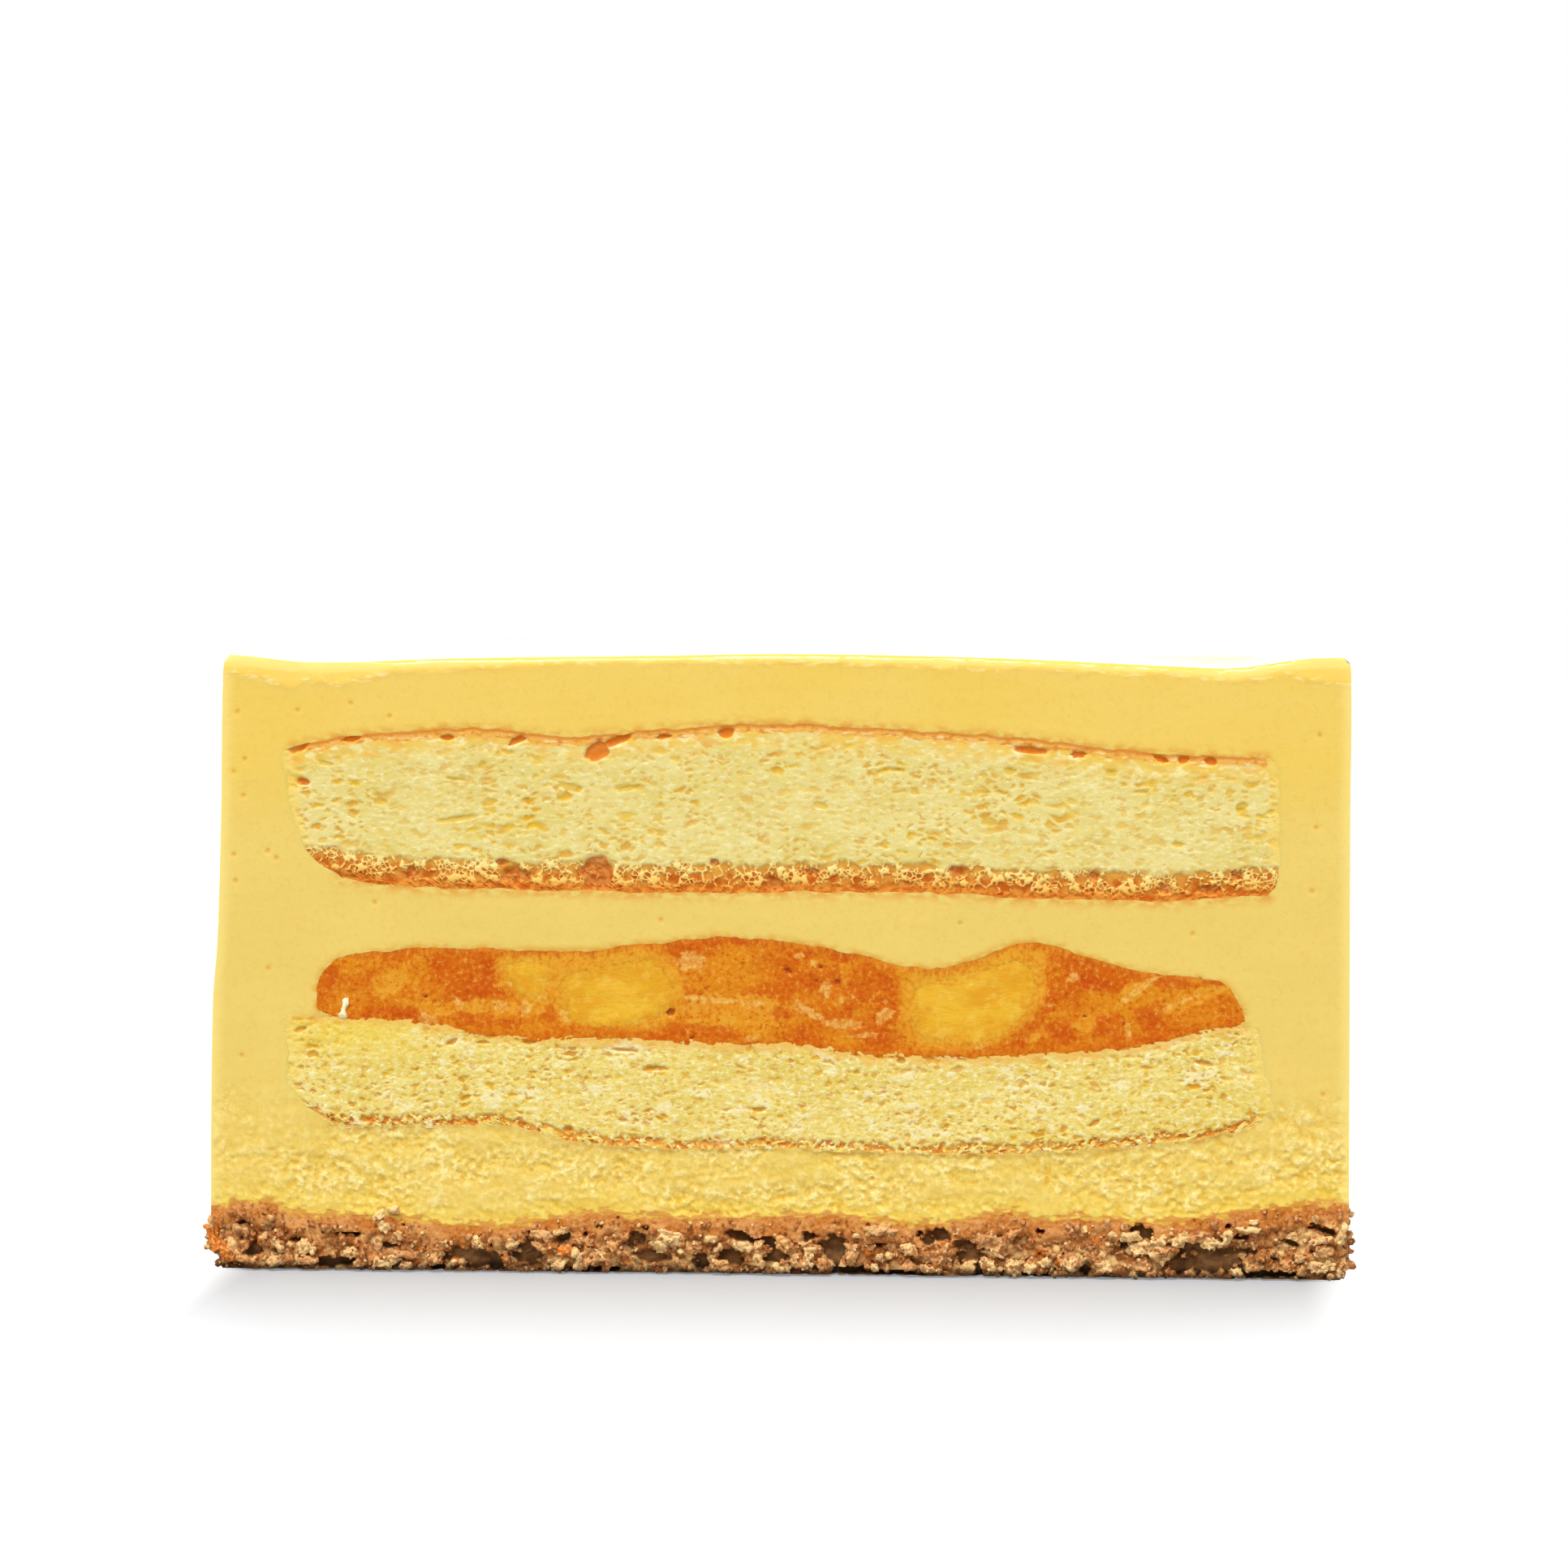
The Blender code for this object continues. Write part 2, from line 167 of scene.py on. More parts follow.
LOWER_SPONGE_ENDS = [
    (0, 56.2, 58.0), (0.06, 58.2, 59.6), (0.18, 59.6, 60.6), (0.35, 60.2, 60.3), (0.6, 60.3, 59.6),
    (0.85, 60.7, 59.3), (0.95, 60.5, 58.9), (1, 59.8, 57.8),
]
BASE_ENDS = [
    (0, 68.6, 69.3), (0.12, 69.4, 69.7), (0.26, 70, 69.9), (0.42, 70.2, 70), (0.58, 70.2, 70),
    (0.72, 70, 70), (0.86, 69.9, 70), (1, 69.9, 70),
]

# %% A layer that turns shares into points
KNOTS = 512


def wander(along, size, seed):
    """A smooth random wave between -1 and 1, with bumps about size millimetres long."""
    knots = np.random.default_rng(seed).uniform(-1, 1, KNOTS)
    at = along / size + KNOTS / 2
    i = np.floor(at).astype(int)
    t = at - i
    t = t * t * (3 - 2 * t)
    return knots[i % KNOTS] * (1 - t) + knots[(i + 1) % KNOTS] * t


SIDE_HEIGHT = 20


class Layer:
    """The band that one layer shows at the cut, with a ragged edge."""

    def __init__(self, ends, bottom, top, ragged=0.0, seed=0):
        self.left = curve_through([(share, left) for share, left, _ in ends])
        self.right = curve_through([(share, right) for share, _, right in ends])
        self.bottom, self.top = bottom, top
        self.ragged, self.seed = ragged, seed

    def rough(self, along, side):
        """How far the edge of one side strays from its smooth line."""
        seed = self.seed + side * 10
        return self.ragged * (0.65 * wander(along, 1.7, seed) + 0.35 * wander(along, 0.6, seed + 1))

    def reach(self, share, grow=0.0):
        left, right = self.left(share) + grow, self.right(share) + grow
        return left + self.rough(share * SIDE_HEIGHT, 0), right + self.rough(share * SIDE_HEIGHT, 1)

    def lines(self, x, y=None, grow=0.0):
        y = CUT_Y if y is None else y
        return self.bottom(x, y) - grow + self.rough(x, 2), self.top(x, y) + grow + self.rough(x, 3)

    def point(self, across, share, grow=0.0, angle=0.0):
        """x, y and z of a place on the layer. angle is 0 at the cut and a quarter turn at the back."""
        left, right = self.reach(share, grow)
        x = (-left + (left + right) * across) * math.cos(angle)
        y = CUT_Y + 0.5 * (left + right) * math.sin(angle)
        bottom, top = self.lines(x, y, grow)
        return np.stack(np.broadcast_arrays(x, y, bottom * (1 - share) + top * share), axis=-1)

    def inside(self, x, z):
        """True where a place at the cut is on the layer."""
        bottom, top = self.lines(x)
        share = (z - bottom) / (top - bottom)
        left, right = self.reach(np.clip(share, 0, 1))
        return (share > 0) & (share < 1) & (x > -left) & (x < right)


upper_bottom, upper_top, lower_bottom, filling_bottom, filling_top, base_top = map(layer_surface, (
    UPPER_SPONGE_BOTTOM, UPPER_SPONGE_TOP, LOWER_SPONGE_BOTTOM, FILLING_BOTTOM, FILLING_TOP, BASE_TOP,
))
mousse_layer = Layer(MOUSSE_ENDS, base_top, cake_top)
base_layer = Layer(BASE_ENDS, lambda x, y: 0.0 * x, base_top)
upper_sponge = Layer(UPPER_SPONGE_ENDS, upper_bottom, upper_top, ragged=0.22, seed=100)
lower_sponge = Layer(LOWER_SPONGE_ENDS, lower_bottom, filling_bottom, ragged=0.3, seed=200)
filling = Layer(FILLING_ENDS, filling_bottom, filling_top, ragged=0.22, seed=300)
for label, layer in (("upper sponge", upper_sponge), ("lower sponge", lower_sponge), ("filling", filling)):
    width = layer.point(1.0, 0.5)[0] - layer.point(0.0, 0.5)[0]
    print(f"{label} is {width:.1f} mm wide at half height")

# %% [markdown]
# ## Meshes in plain arrays
# The cut face needs points a few tenths of a millimetre apart, far too many to add one by one. Arrays make
# them all at once. Sheets that share an edge get the same numbers there, so welding equal points closes the
# body.

# %% From arrays to a closed mesh object
def make_mesh(name, points_mm, faces, recalculate=False):
    """A mesh object with its points in metres, its place in the mesh and its faces pointing outwards."""
    mesh = bpy.data.meshes.new(name)
    mesh.from_pydata((points_mm * MM).tolist(), [], faces)
    if recalculate:
        bm = bmesh.new()
        bm.from_mesh(mesh)
        bmesh.ops.recalc_face_normals(bm, faces=bm.faces)
        bm.to_mesh(mesh)
        bm.free()
    mesh.shade_smooth()
    obj = bpy.data.objects.new(name, mesh)
    bpy.context.scene.collection.objects.link(obj)
    return obj


def welded(points, faces):
    """Merges points that lie in one place, and drops faces that have shrunk to nothing."""
    _, first, place = np.unique(np.round(points, 4), axis=0, return_index=True, return_inverse=True)
    place = place.ravel()
    kept = []
    for face in faces:
        corners = list(dict.fromkeys(place[list(face)].tolist()))
        if len(corners) > 2:
            kept.append(corners)
    return points[first], kept


def triangulated(flat, loops, inside, first=0):
    """Triangles over flat points. Loops of point numbers stay edges, and inside picks centres to keep."""
    edges = [(loop[i], loop[(i + 1) % len(loop)]) for loop in loops for i in range(len(loop))]
    made = delaunay_2d_cdt([Vector(p) for p in flat.tolist()], edges, [], 0, 1e-9)
    source = np.array([ids[0] for ids in made[3]])
    triangles = source[np.array(made[2])]
    centres = flat[triangles].mean(axis=1)
    return (triangles[inside(centres[:, 0], centres[:, 1])] + first).tolist()


def nearest(points, others):
    """Distance from each point to the nearest of the others."""
    tree = kdtree.KDTree(len(others))
    for i, other in enumerate(others):
        tree.insert((other[0], other[1], 0), i)
    tree.balance()
    return np.array([tree.find((p[0], p[1], 0))[2] for p in points])


def quads(*corners):
    """Faces with four corners, from four arrays of point numbers."""
    return np.stack(corners, axis=-1).reshape(-1, 4).tolist()


def hex_points(low, high, step):
    """Points of a regular triangle pattern between two corners."""
    rows = np.arange(low[1], high[1], step * math.sqrt(3) / 2)
    columns = np.arange(low[0], high[0], step)
    x, z = np.meshgrid(columns, rows)
    x[1::2] += step / 2
    return np.column_stack([x.ravel(), z.ravel()])


def store_values(obj, **values):
    """Keeps one number for each point of a mesh, for the node trees to read."""
    for label, numbers in values.items():
        attribute = obj.data.attributes.new(label, "FLOAT", "POINT")
        attribute.data.foreach_set("value", np.asarray(numbers, np.float32))


def points_of(obj):
    """The mesh's points as an array in millimetres."""
    flat = np.empty(len(obj.data.vertices) * 3, np.float32)
    obj.data.vertices.foreach_get("co", flat)
    return flat.reshape(-1, 3).astype(float) / MM


# %% [markdown]
# ## Node trees in plain arithmetic
# Relief and colour are both made of fields: values that vary over a surface. A small class that turns + and
# * into Math nodes lets a tree be read as a formula, and it serves the trees for shape and those for colour
# alike.

# %% Fields
def add_node(tree, kind, inputs=(), **settings):
    """Adds a node. inputs go to its shown sockets by name or by number, as values or as links."""
    node = tree.nodes.new(kind)
    for label, value in settings.items():
        setattr(node, label, value)
    shown = [socket for socket in node.inputs if socket.enabled]
    for key, value in inputs.items() if isinstance(inputs, dict) else enumerate(inputs):
        socket = shown[key] if isinstance(key, int) else next(s for s in shown if s.name == key)
        if isinstance(value, Field):
            tree.links.new(value.socket, socket)
        elif value is not None:
            socket.default_value = value
    return node


def field(tree, kind, inputs=(), output=0, **settings):
    """The output of a new node."""
    return Field(add_node(tree, kind, inputs, **settings), output)


class Field:
    """One output of a node: a value that varies over the surface."""

    def __init__(self, node, output=0):
        shown = [socket for socket in node.outputs if socket.enabled]
        self.socket = shown[output] if isinstance(output, int) else next(s for s in shown if s.name == output)
        self.tree = node.id_data

    def math(self, operation, *others):
        return field(self.tree, "ShaderNodeMath", (self, *others), operation=operation)

    def __add__(self, other):
        return self.math("ADD", other)

    def __sub__(self, other):
        return self.math("SUBTRACT", other)

    def __mul__(self, other):
        return self.math("MULTIPLY", other)

    def __rsub__(self, other):
        return self.math("MULTIPLY", -1.0).math("ADD", other)

    __radd__, __rmul__ = __add__, __mul__

    def rise(self, start, end, low=0.0, high=1.0):
        """Goes smoothly from low to high while this value goes from start to end."""
        if start > end:
            start, end, low, high = end, start, high, low
        limits = (self, start, end, low, high)
        return field(self.tree, "ShaderNodeMapRange", limits, interpolation_type="SMOOTHSTEP")

    def frayed(self, noise, by):
        """This value made uneven by noise between 0 and 1: up to half of by more or less."""
        return self + (noise - 0.5) * by

    def largest(self, other):
        return self.math("MAXIMUM", other)


def vector_math(operation, *values, output=0):
    return field(values[0].tree, "ShaderNodeVectorMath", values, output, operation=operation)


def spread(place, across, up=None, seed=0.0):
    """Coordinates in which one unit is across wide and up high, moved along by a seed."""
    scale = (1 / across, 1 / across, 1 / (up or across))
    return vector_math("MULTIPLY_ADD", place, scale, (seed, seed * 1.7, seed * 0.6))


def clouds(place, across, up=None, seed=0.0, detail=2.0, roughness=0.5, output=0):
    """Soft noise between 0 and 1."""
    inputs = {
        "Vector": spread(place, across, up, seed), "Scale": 1.0, "Detail": detail, "Roughness": roughness,
    }
    return field(place.tree, "ShaderNodeTexNoise", inputs, output)


def grit(place, across, up=None, seed=0.0):
    """Noise with much fine detail."""
    return clouds(place, across, up, seed, detail=4.0, roughness=0.65)


def cells(place, across, up=None, seed=0.0, feature="F1", output=0):
    """Distance to the nearest of many scattered points, or the distance to the walls between them."""
    inputs = {"Vector": spread(place, across, up, seed), "Scale": 1.0}
    return field(place.tree, "ShaderNodeTexVoronoi", inputs, output, feature=feature)


def bent(place, amount, across, seed=0.0):
    """The same places, pushed about by noise, so that what is drawn there loses its regular outline."""
    push = vector_math("SUBTRACT", clouds(place, across, seed=seed, output=1), (0.5, 0.5, 0.5))
    return vector_math("MULTIPLY_ADD", push, (amount * 2,) * 3, place)


def pick(place_or_colour, channel=0):
    """One of the three numbers of a vector or colour."""
    return field(place_or_colour.tree, "ShaderNodeSeparateXYZ", (place_or_colour,), channel)


def stored(tree, label):
    """A number kept on the mesh's points."""
    if tree.bl_idname == "GeometryNodeTree":
        return field(tree, "GeometryNodeInputNamedAttribute", (label,), data_type="FLOAT")
    return field(tree, "ShaderNodeAttribute", output="Fac", attribute_name=label)


def rest_place(tree):
    """Where a point lay before relief moved it, in millimetres, so that colour follows the same pattern."""
    return field(tree, "ShaderNodeAttribute", output="Vector", attribute_name="rest")


# %% [markdown]
# A growth is a Geometry Nodes tree with named sizes in millimetres. It is run once, its result is kept as a
# plain mesh, and the modifier goes.

# %% Growths: trees for shape
SHARP_ANGLE = math.radians(55)


def new_growth(name, sizes):
    """A tree with a mesh going in and out and an input for each size. Gives tree, mesh, place and inputs."""
    tree = bpy.data.node_groups.new(name, "GeometryNodeTree")
    tree.interface.new_socket("Mesh", in_out="INPUT", socket_type="NodeSocketGeometry")
    tree.interface.new_socket("Mesh", in_out="OUTPUT", socket_type="NodeSocketGeometry")
    for label, value in sizes.items():
        socket = tree.interface.new_socket(label, in_out="INPUT", socket_type="NodeSocketFloat")
        socket.default_value = value
    entrance = add_node(tree, "NodeGroupInput")
    place = vector_math("SCALE", field(tree, "GeometryNodeInputPosition"), 1 / MM)
    mesh = keep(Field(entrance), "rest", place, "FLOAT_VECTOR")
    return tree, mesh, place, {label: Field(entrance, label) for label in sizes}


def keep(mesh, label, value, kind="FLOAT"):
    """Stores a value on the points of the mesh that runs through a tree."""
    inputs = (mesh, None, label, value)
    return field(mesh.tree, "GeometryNodeStoreNamedAttribute", inputs, data_type=kind)


def push(mesh, inward):
    """Moves the points of a cut face inwards by a number of millimetres."""
    offset = field(mesh.tree, "ShaderNodeCombineXYZ", (0.0, inward * MM, 0.0))
    return field(mesh.tree, "GeometryNodeSetPosition", {"Geometry": mesh, "Offset": offset})


def end_growth(mesh, finish):
    """Ends a tree in plain geometry with its finish on it."""
    real = field(mesh.tree, "GeometryNodeRealizeInstances", (mesh,))
    smooth = field(mesh.tree, "GeometryNodeSetShadeSmooth", (real,))
    painted = field(mesh.tree, "GeometryNodeSetMaterial", (smooth, None, finish))
    add_node(mesh.tree, "NodeGroupOutput", (painted,))


def grow(obj, tree):
    """Runs a growth with its sizes on an object and keeps the result as its mesh."""
    modifier = obj.modifiers.new(tree.name, "NODES")
    modifier.node_group = tree
    for item in tree.interface.items_tree:
        if item.in_out == "INPUT" and item.socket_type == "NodeSocketFloat":
            modifier[item.identifier] = item.default_value
    state = bpy.context.evaluated_depsgraph_get()
    grown = obj.evaluated_get(state)
    mesh = bpy.data.meshes.new_from_object(grown, preserve_all_data_layers=True, depsgraph=state)
    obj.modifiers.remove(modifier)
    obj.data = mesh
    mesh.set_sharp_from_angle(angle=SHARP_ANGLE)
    print(obj.name, "has", sum(len(p.vertices) - 2 for p in mesh.polygons), "triangles")


def finish_piece(obj, slot, *nodes):
    """Fixes a piece to the cake's one body and hides the frame's solids that it stands for; slot is not used.
    """
    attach(obj, "root")
    if nodes:
        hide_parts(*nodes)


# %% [markdown]
# ## Colours
# A finish is planned from the colour that should be seen at the cut, on the usual scale from 0 to 255. The
# scene's light is a little stronger than 1 there, so the paint itself is darker by that much.

# %% Paint and finishes
LIGHT_ON_CUT = 1.25


def paint(red, green, blue, light=LIGHT_ON_CUT):
    """The linear paint colour that is seen as this colour in the scene's light."""
    shares = [value / 255 for value in (red, green, blue)]
    linear = [s / 12.92 if s <= 0.04045 else ((s + 0.055) / 1.055) ** 2.4 for s in shares]
    return (*[value / light for value in linear], 1.0)


def blend(share, first, second):
    """A colour from first to second while share goes from 0 to 1. Three numbers stand for a seen colour."""
    colours = [paint(*c) if isinstance(c, tuple) and len(c) == 3 else c for c in (first, second)]
    return field(share.tree, "ShaderNodeMix", (share, *colours), data_type="RGBA")


def coats(colour, *layers):
    """The colour under several coats, each given as how far it covers, from 0 to 1, and its own colour."""
    for share, coat in layers:
        colour = blend(share, colour, coat)
    return colour


def new_finish(name, soft=None, **constants):
    """A material with constant sockets set. Gives the material, its shader and the place in millimetres.

    soft is for stuff that light goes into: how much of it does, how far in mm, and how far for each colour.
    """
    if soft:
        share, depth, reach = soft
        constants.update(Subsurface_Weight=share, Subsurface_Scale=depth * MM, Subsurface_Radius=reach)
    material = bpy.data.materials.new(name)
    material.use_nodes = True
    tree = material.node_tree
    shader = tree.nodes["Principled BSDF"]
    for label, value in constants.items():
        shader.inputs[label.replace("_", " ")].default_value = value
    place = vector_math("SCALE", field(tree, "ShaderNodeTexCoord", output="Object"), 1 / MM)
    return material, shader, place


def plug(value, shader, label):
    """Links a value to one socket of a shader."""
    value.tree.links.new(value.socket, shader.inputs[label])


def roughen(shader, height, distance_mm):
    """Fine relief that is too small for the mesh."""
    bump = field(height.tree, "ShaderNodeBump", {"Height": height, "Distance": distance_mm * MM})
    plug(bump, shader, "Normal")


# %% [markdown]
# ## Camera, floor and light
# The cake stands on a white table in a white room. A long lens a little above the middle looks almost
# straight at the cut, so the top shows only as a thin strip. The camera comes first, so each piece can be
# looked at once made.

# %% Camera
VIEW_DISTANCE = 700
VIEW_TURN = math.radians(5)
VIEW_TILT = math.radians(2.037)
VIEW_HEIGHT = 85
VIEW_SHIFT = 1.14
camera = bpy.data.objects.new("camera", bpy.data.cameras.new("camera"))
bpy.context.scene.collection.objects.link(camera)
camera.location = Vector((
    VIEW_DISTANCE * math.sin(VIEW_TURN) + VIEW_SHIFT * math.cos(VIEW_TURN),
    CUT_Y - VIEW_DISTANCE * math.cos(VIEW_TURN) + VIEW_SHIFT * math.sin(VIEW_TURN),
    VIEW_HEIGHT,
)) * MM
camera.rotation_euler = (math.radians(90) - VIEW_TILT, 0, VIEW_TURN)
camera.data.sensor_width = 36
camera.data.lens = 131.66
camera.data.clip_start = 0.01
bpy.context.scene.camera = camera
print("camera at", [round(c, 3) for c in camera.location])

# %% Floor
TABLE_PAINT = (0.36, 0.36, 0.37, 1)
NEAR_PAINT = (0.256, 0.267, 0.288, 1)
FAR_PAINT = (0, 0, 0, 1)
TABLE_GLOW = 0.1
NEAR_GLOW = 0.2
FAR_GLOW = 0.62
bpy.ops.mesh.primitive_plane_add(size=8, location=(0, 0, -0.0002))
floor = bpy.context.object
floor.name = "floor"
floor_finish, floor_shader, place = new_finish(
    "white_table", Roughness=0.6, Specular_IOR_Level=0.1, Emission_Color=(1, 1, 1, 1),
)
# Painted shadow and glow: seen from the camera, the table is grey and glows little just in front of the cake,
# and glows more further off and beside it, so a soft shadow is painted at the cake's foot. For all other rays
# the table is a plain grey that glows a little and lights the cake from below.
seen = field(place.tree, "ShaderNodeLightPath", output="Is Camera Ray")
in_front = (pick(place, 1) * -1.0 + CUT_Y).rise(-25, 85, NEAR_GLOW, FAR_GLOW)
behind = (pick(place, 1) - CUT_Y).largest(0.0)
open_table = (pick(place) * pick(place) + behind * behind).math("SQRT").rise(RADIUS - 6, RADIUS)
seen_table = blend(open_table, NEAR_PAINT, FAR_PAINT)
plug(blend(seen, TABLE_PAINT, seen_table), floor_shader, "Base Color")
glow_and_painted_shadow = in_front + (1.0 - in_front) * open_table
plug(glow_and_painted_shadow * seen + (1.0 - seen) * TABLE_GLOW, floor_shader, "Emission Strength")
floor.data.materials.append(floor_finish)

# %% Light
ROOM_LIGHT = 0.5
world = bpy.data.worlds.new("white room")
world.use_nodes = True
tree = world.node_tree
path = add_node(tree, "ShaderNodeLightPath")
seen = Field(path, "Is Camera Ray").largest(Field(path, "Is Glossy Ray"))
brightness = seen * (1.0 - ROOM_LIGHT) + ROOM_LIGHT
tree.links.new(brightness.socket, tree.nodes["Background"].inputs["Strength"])
tree.nodes["Background"].inputs["Color"].default_value = (1, 1, 1, 1)
bpy.context.scene.world = world


def add_soft_sun(name, strength, rise, turn, width):
    """An even light from far away: its height, its turn to the left and how wide it is, in degrees."""
    light = bpy.data.lights.new(name, "SUN")
    light.energy = strength
    light.angle = math.radians(width)
    sun = bpy.data.objects.new(name, light)
    sun.rotation_euler = (math.radians(90 - rise), 0, -math.radians(turn))
    bpy.context.scene.collection.objects.link(sun)


add_soft_sun("front_window", 1.42, rise=38, turn=6, width=35)
add_soft_sun("roof_window", 2.5, rise=64, turn=18, width=16)
add_soft_sun("back_window", 1.5, rise=32, turn=188, width=50)
bpy.context.scene.view_settings.view_transform = "Standard"

# %% [markdown]
# ## Blocks for the sponges and the filling
# Each of them is a block with a fine grid on the cut and coarser rows behind it. The grid is bent to the
# layer's outline, so pores and crusts can follow it. At its border the grid dips behind the mousse, which
# hides the edge.

# %% A block with a fine face at the cut
HIDDEN_EDGE = 0.25
EDGE_FADE = 0.35
EDGE_DIP = 0.03
BACK_ANGLES = [0.7, 6, 18, 36, 56, 72, 82]


def layer_block(name, layer, step):
    """A closed block for a layer. Keeps on its points: front, below_top, above_foot and from_end."""
    width = np.ptp(layer.point(np.array([0.0, 1.0]), 0.5)[:, 0])
    height = np.ptp(np.mean(layer.lines(np.linspace(-50, 50, 9)), axis=1))
    columns, rows = round(width / step), round(height / step)
    across, share = np.meshgrid(np.linspace(0, 1, columns + 1), np.linspace(0, 1, rows + 1))
    front = layer.point(across, share, HIDDEN_EDGE).reshape(-1, 3)
    number = np.arange(len(front)).reshape(rows + 1, columns + 1)
    faces = quads(number[:-1, :-1], number[:-1, 1:], number[1:, 1:], number[1:, :-1])
    loop = np.concatenate([number[0, :-1], number[:-1, -1], number[-1, :0:-1], number[:0:-1, 0]])
    around, up = across.ravel()[loop], share.ravel()[loop]
    points, last = [front], loop
    for angle in BACK_ANGLES:
        ring = layer.point(around, up, HIDDEN_EDGE, math.radians(angle))
        fresh = sum(len(p) for p in points) + np.arange(len(loop))
        points.append(ring)
        faces += quads(np.roll(last, -1), last, fresh, np.roll(fresh, -1))
        last = fresh
    faces.append(last.tolist())
    bottom, top = layer.lines(front[:, 0])
    left, right = layer.reach(share.ravel())
    behind = sum(len(p) for p in points[1:])
    below_top, above_foot = top - front[:, 2], front[:, 2] - bottom
    from_end = np.minimum(front[:, 0] + left, right - front[:, 0])
    inner = np.minimum(np.minimum(below_top, above_foot), from_end)
    shown = np.clip((inner + HIDDEN_EDGE) / (HIDDEN_EDGE + EDGE_FADE), 0, 1)
    points[0][:, 1] += EDGE_DIP * (1 - shown) ** 2
    block = make_mesh(name, np.concatenate(points), faces)
    values = {"front": shown, "below_top": below_top, "above_foot": above_foot, "from_end": from_end}
    store_values(block, **{label: np.pad(numbers, (0, behind)) for label, numbers in values.items()})
    return block


# %% [markdown]
# ## Upper sponge
# A beaten sponge is a foam: cut through it and round bubbles show, pressed flat by its own weight, so they
# look like short level slits. Bubbles as Voronoi cells, kept only where a random number allows, give slits
# of every size. The face that lay on the tin is a browned skin of open cells, and the other face a thin
# moist crust with hollows.

# %% Hollows under the crust and in the crumb, as x, z, half width, half height in mm and turn in degrees
CRUST_HOLLOWS = [
    (-59.0, 64.3, 1.2, 0.5, 15), (-52.2, 65.5, 1.4, 0.4, 8), (-40.2, 65.7, 0.9, 0.3, 0),
    (-31.6, 65.4, 1.2, 0.4, 20), (-21.9, 64.2, 1.7, 0.9, 30), (-19.3, 65.4, 1.6, 0.4, 22),
    (-13.6, 65.9, 0.9, 0.25, 5), (-5.9, 66.3, 0.9, 0.5, 10), (31.2, 64.3, 1.7, 0.45, -5),
    (37.1, 63.8, 1.0, 0.35, 0), (47.2, 63.2, 0.7, 0.35, -20), (49.8, 63.2, 0.8, 0.4, 10),
    (53.2, 63.0, 0.8, 0.35, -15), (-58.2, 60.2, 0.9, 0.4, -8),
]
CRUMB_HOLLOWS = [
    (-55.4, 62.5, 1.2, 0.3, -12), (-36.0, 62.3, 0.6, 0.4, 30), (-39.4, 60.6, 1.4, 0.2, -6),
    (-25.1, 59.7, 1.5, 0.4, -14), (-17.9, 59.6, 1.3, 0.35, 12), (-48.6, 57.8, 1.0, 0.3, 0),
    (-39.5, 55.7, 2.0, 0.4, 8), (28.9, 61.8, 0.7, 0.4, 0), (41.0, 61.6, 0.8, 0.4, 0),
    (44.7, 59.3, 1.0, 0.25, 0), (56.8, 57.5, 0.8, 0.5, 25), (5.7, 57.5, 1.0, 0.4, -15),
    (26.3, 55.5, 1.0, 0.5, 0), (14.5, 61.9, 1.5, 0.25, 0), (49.1, 52.9, 0.8, 0.25, 0),
    (60.4, 56.9, 0.5, 0.25, 0),
]
BROWN_SKIN_HOLLOWS = [
    (-44.8, 49.0, 0.8, 0.7, 0), (-33.7, 50.4, 0.8, 0.4, 0), (-31.9, 48.8, 1.4, 1.0, 0),
    (-21.9, 49.4, 2.2, 1.9, 6), (0.0, 47.9, 1.0, 0.7, -30), (38.9, 48.8, 0.9, 0.6, 0),
    (47.5, 47.4, 0.9, 0.7, 0), (52.9, 47.4, 1.1, 0.6, 0), (56.3, 49.2, 0.9, 0.6, 0),
    (22.4, 49.4, 1.0, 0.7, 0), (4.5, 49.3, 0.7, 0.5, 0), (-7.4, 50.4, 0.7, 0.4, 0),
]


HOLLOW_SEARCH = 9
HOLLOW_UNEVENNESS = 0.22
FACE_DEPTH = 1


def hollow_share(points, hollows, soft=0.5):
    """How far inside one of the uneven ovals each point is, from 0 to 1. soft is the width of its edge."""
    deepest = np.zeros(len(points))
    for x, z, half_width, half_height, turn in hollows:
        dx, dz = points[:, 0] - x, points[:, 2] - z
        near = (np.abs(dx) < HOLLOW_SEARCH) & (np.abs(dz) < HOLLOW_SEARCH)
        cos, sin = math.cos(math.radians(turn)), math.sin(math.radians(turn))
        along = (dx[near] * cos + dz[near] * sin) / half_width
        up = (dz[near] * cos - dx[near] * sin) / half_height
        around, seed = np.arctan2(up, along), int(abs(x * 7))
        uneven = wander(2 * np.cos(around), 1.0, seed) + wander(2 * np.sin(around), 1.0, seed + 1)
        share = (1 + soft / 2 - np.hypot(along, up) * (1 + HOLLOW_UNEVENNESS * uneven)) / soft
        deepest[near] = np.maximum(deepest[near], np.clip(share, 0, 1))
    return deepest


def mark_hollows(block, soft=0.5, **tables):
    """Keeps how far each point of a block's face is inside the ovals of each table. Gives points and face."""
    places = points_of(block)
    on_face = places[:, 1] < CUT_Y + FACE_DEPTH
    for label, rows in tables.items():
        store_values(block, **{label: hollow_share(places, rows, soft) * on_face})
    print(block.name, "has", int(on_face.sum()), "points on its face, with marks for", ", ".join(tables))
    return places, on_face


# %% Upper sponge: pattern, the same for relief and colour
SKIN_FULL = 3.2
SKIN_GONE = 3.8
UPPER_SLITS = [
    (1.1, 0.55, 0.6, 0.5, 3.0, 0.7), (2.1, 0.85, 0.5, 0.46, 7.0, 0.9), (3.8, 1.4, 0.35, 0.42, 11.0, 1.0),
]
SKIN_BUBBLES = [(0.6, 0.55, 0.85, 2.0), (1.3, 1.1, 0.45, 9.0), (2.4, 1.9, 0.2, 12.0)]
WALL_INSIDE = 0.035
WALL_OUTSIDE = 0.14
LUCK_BLUR = 0.04


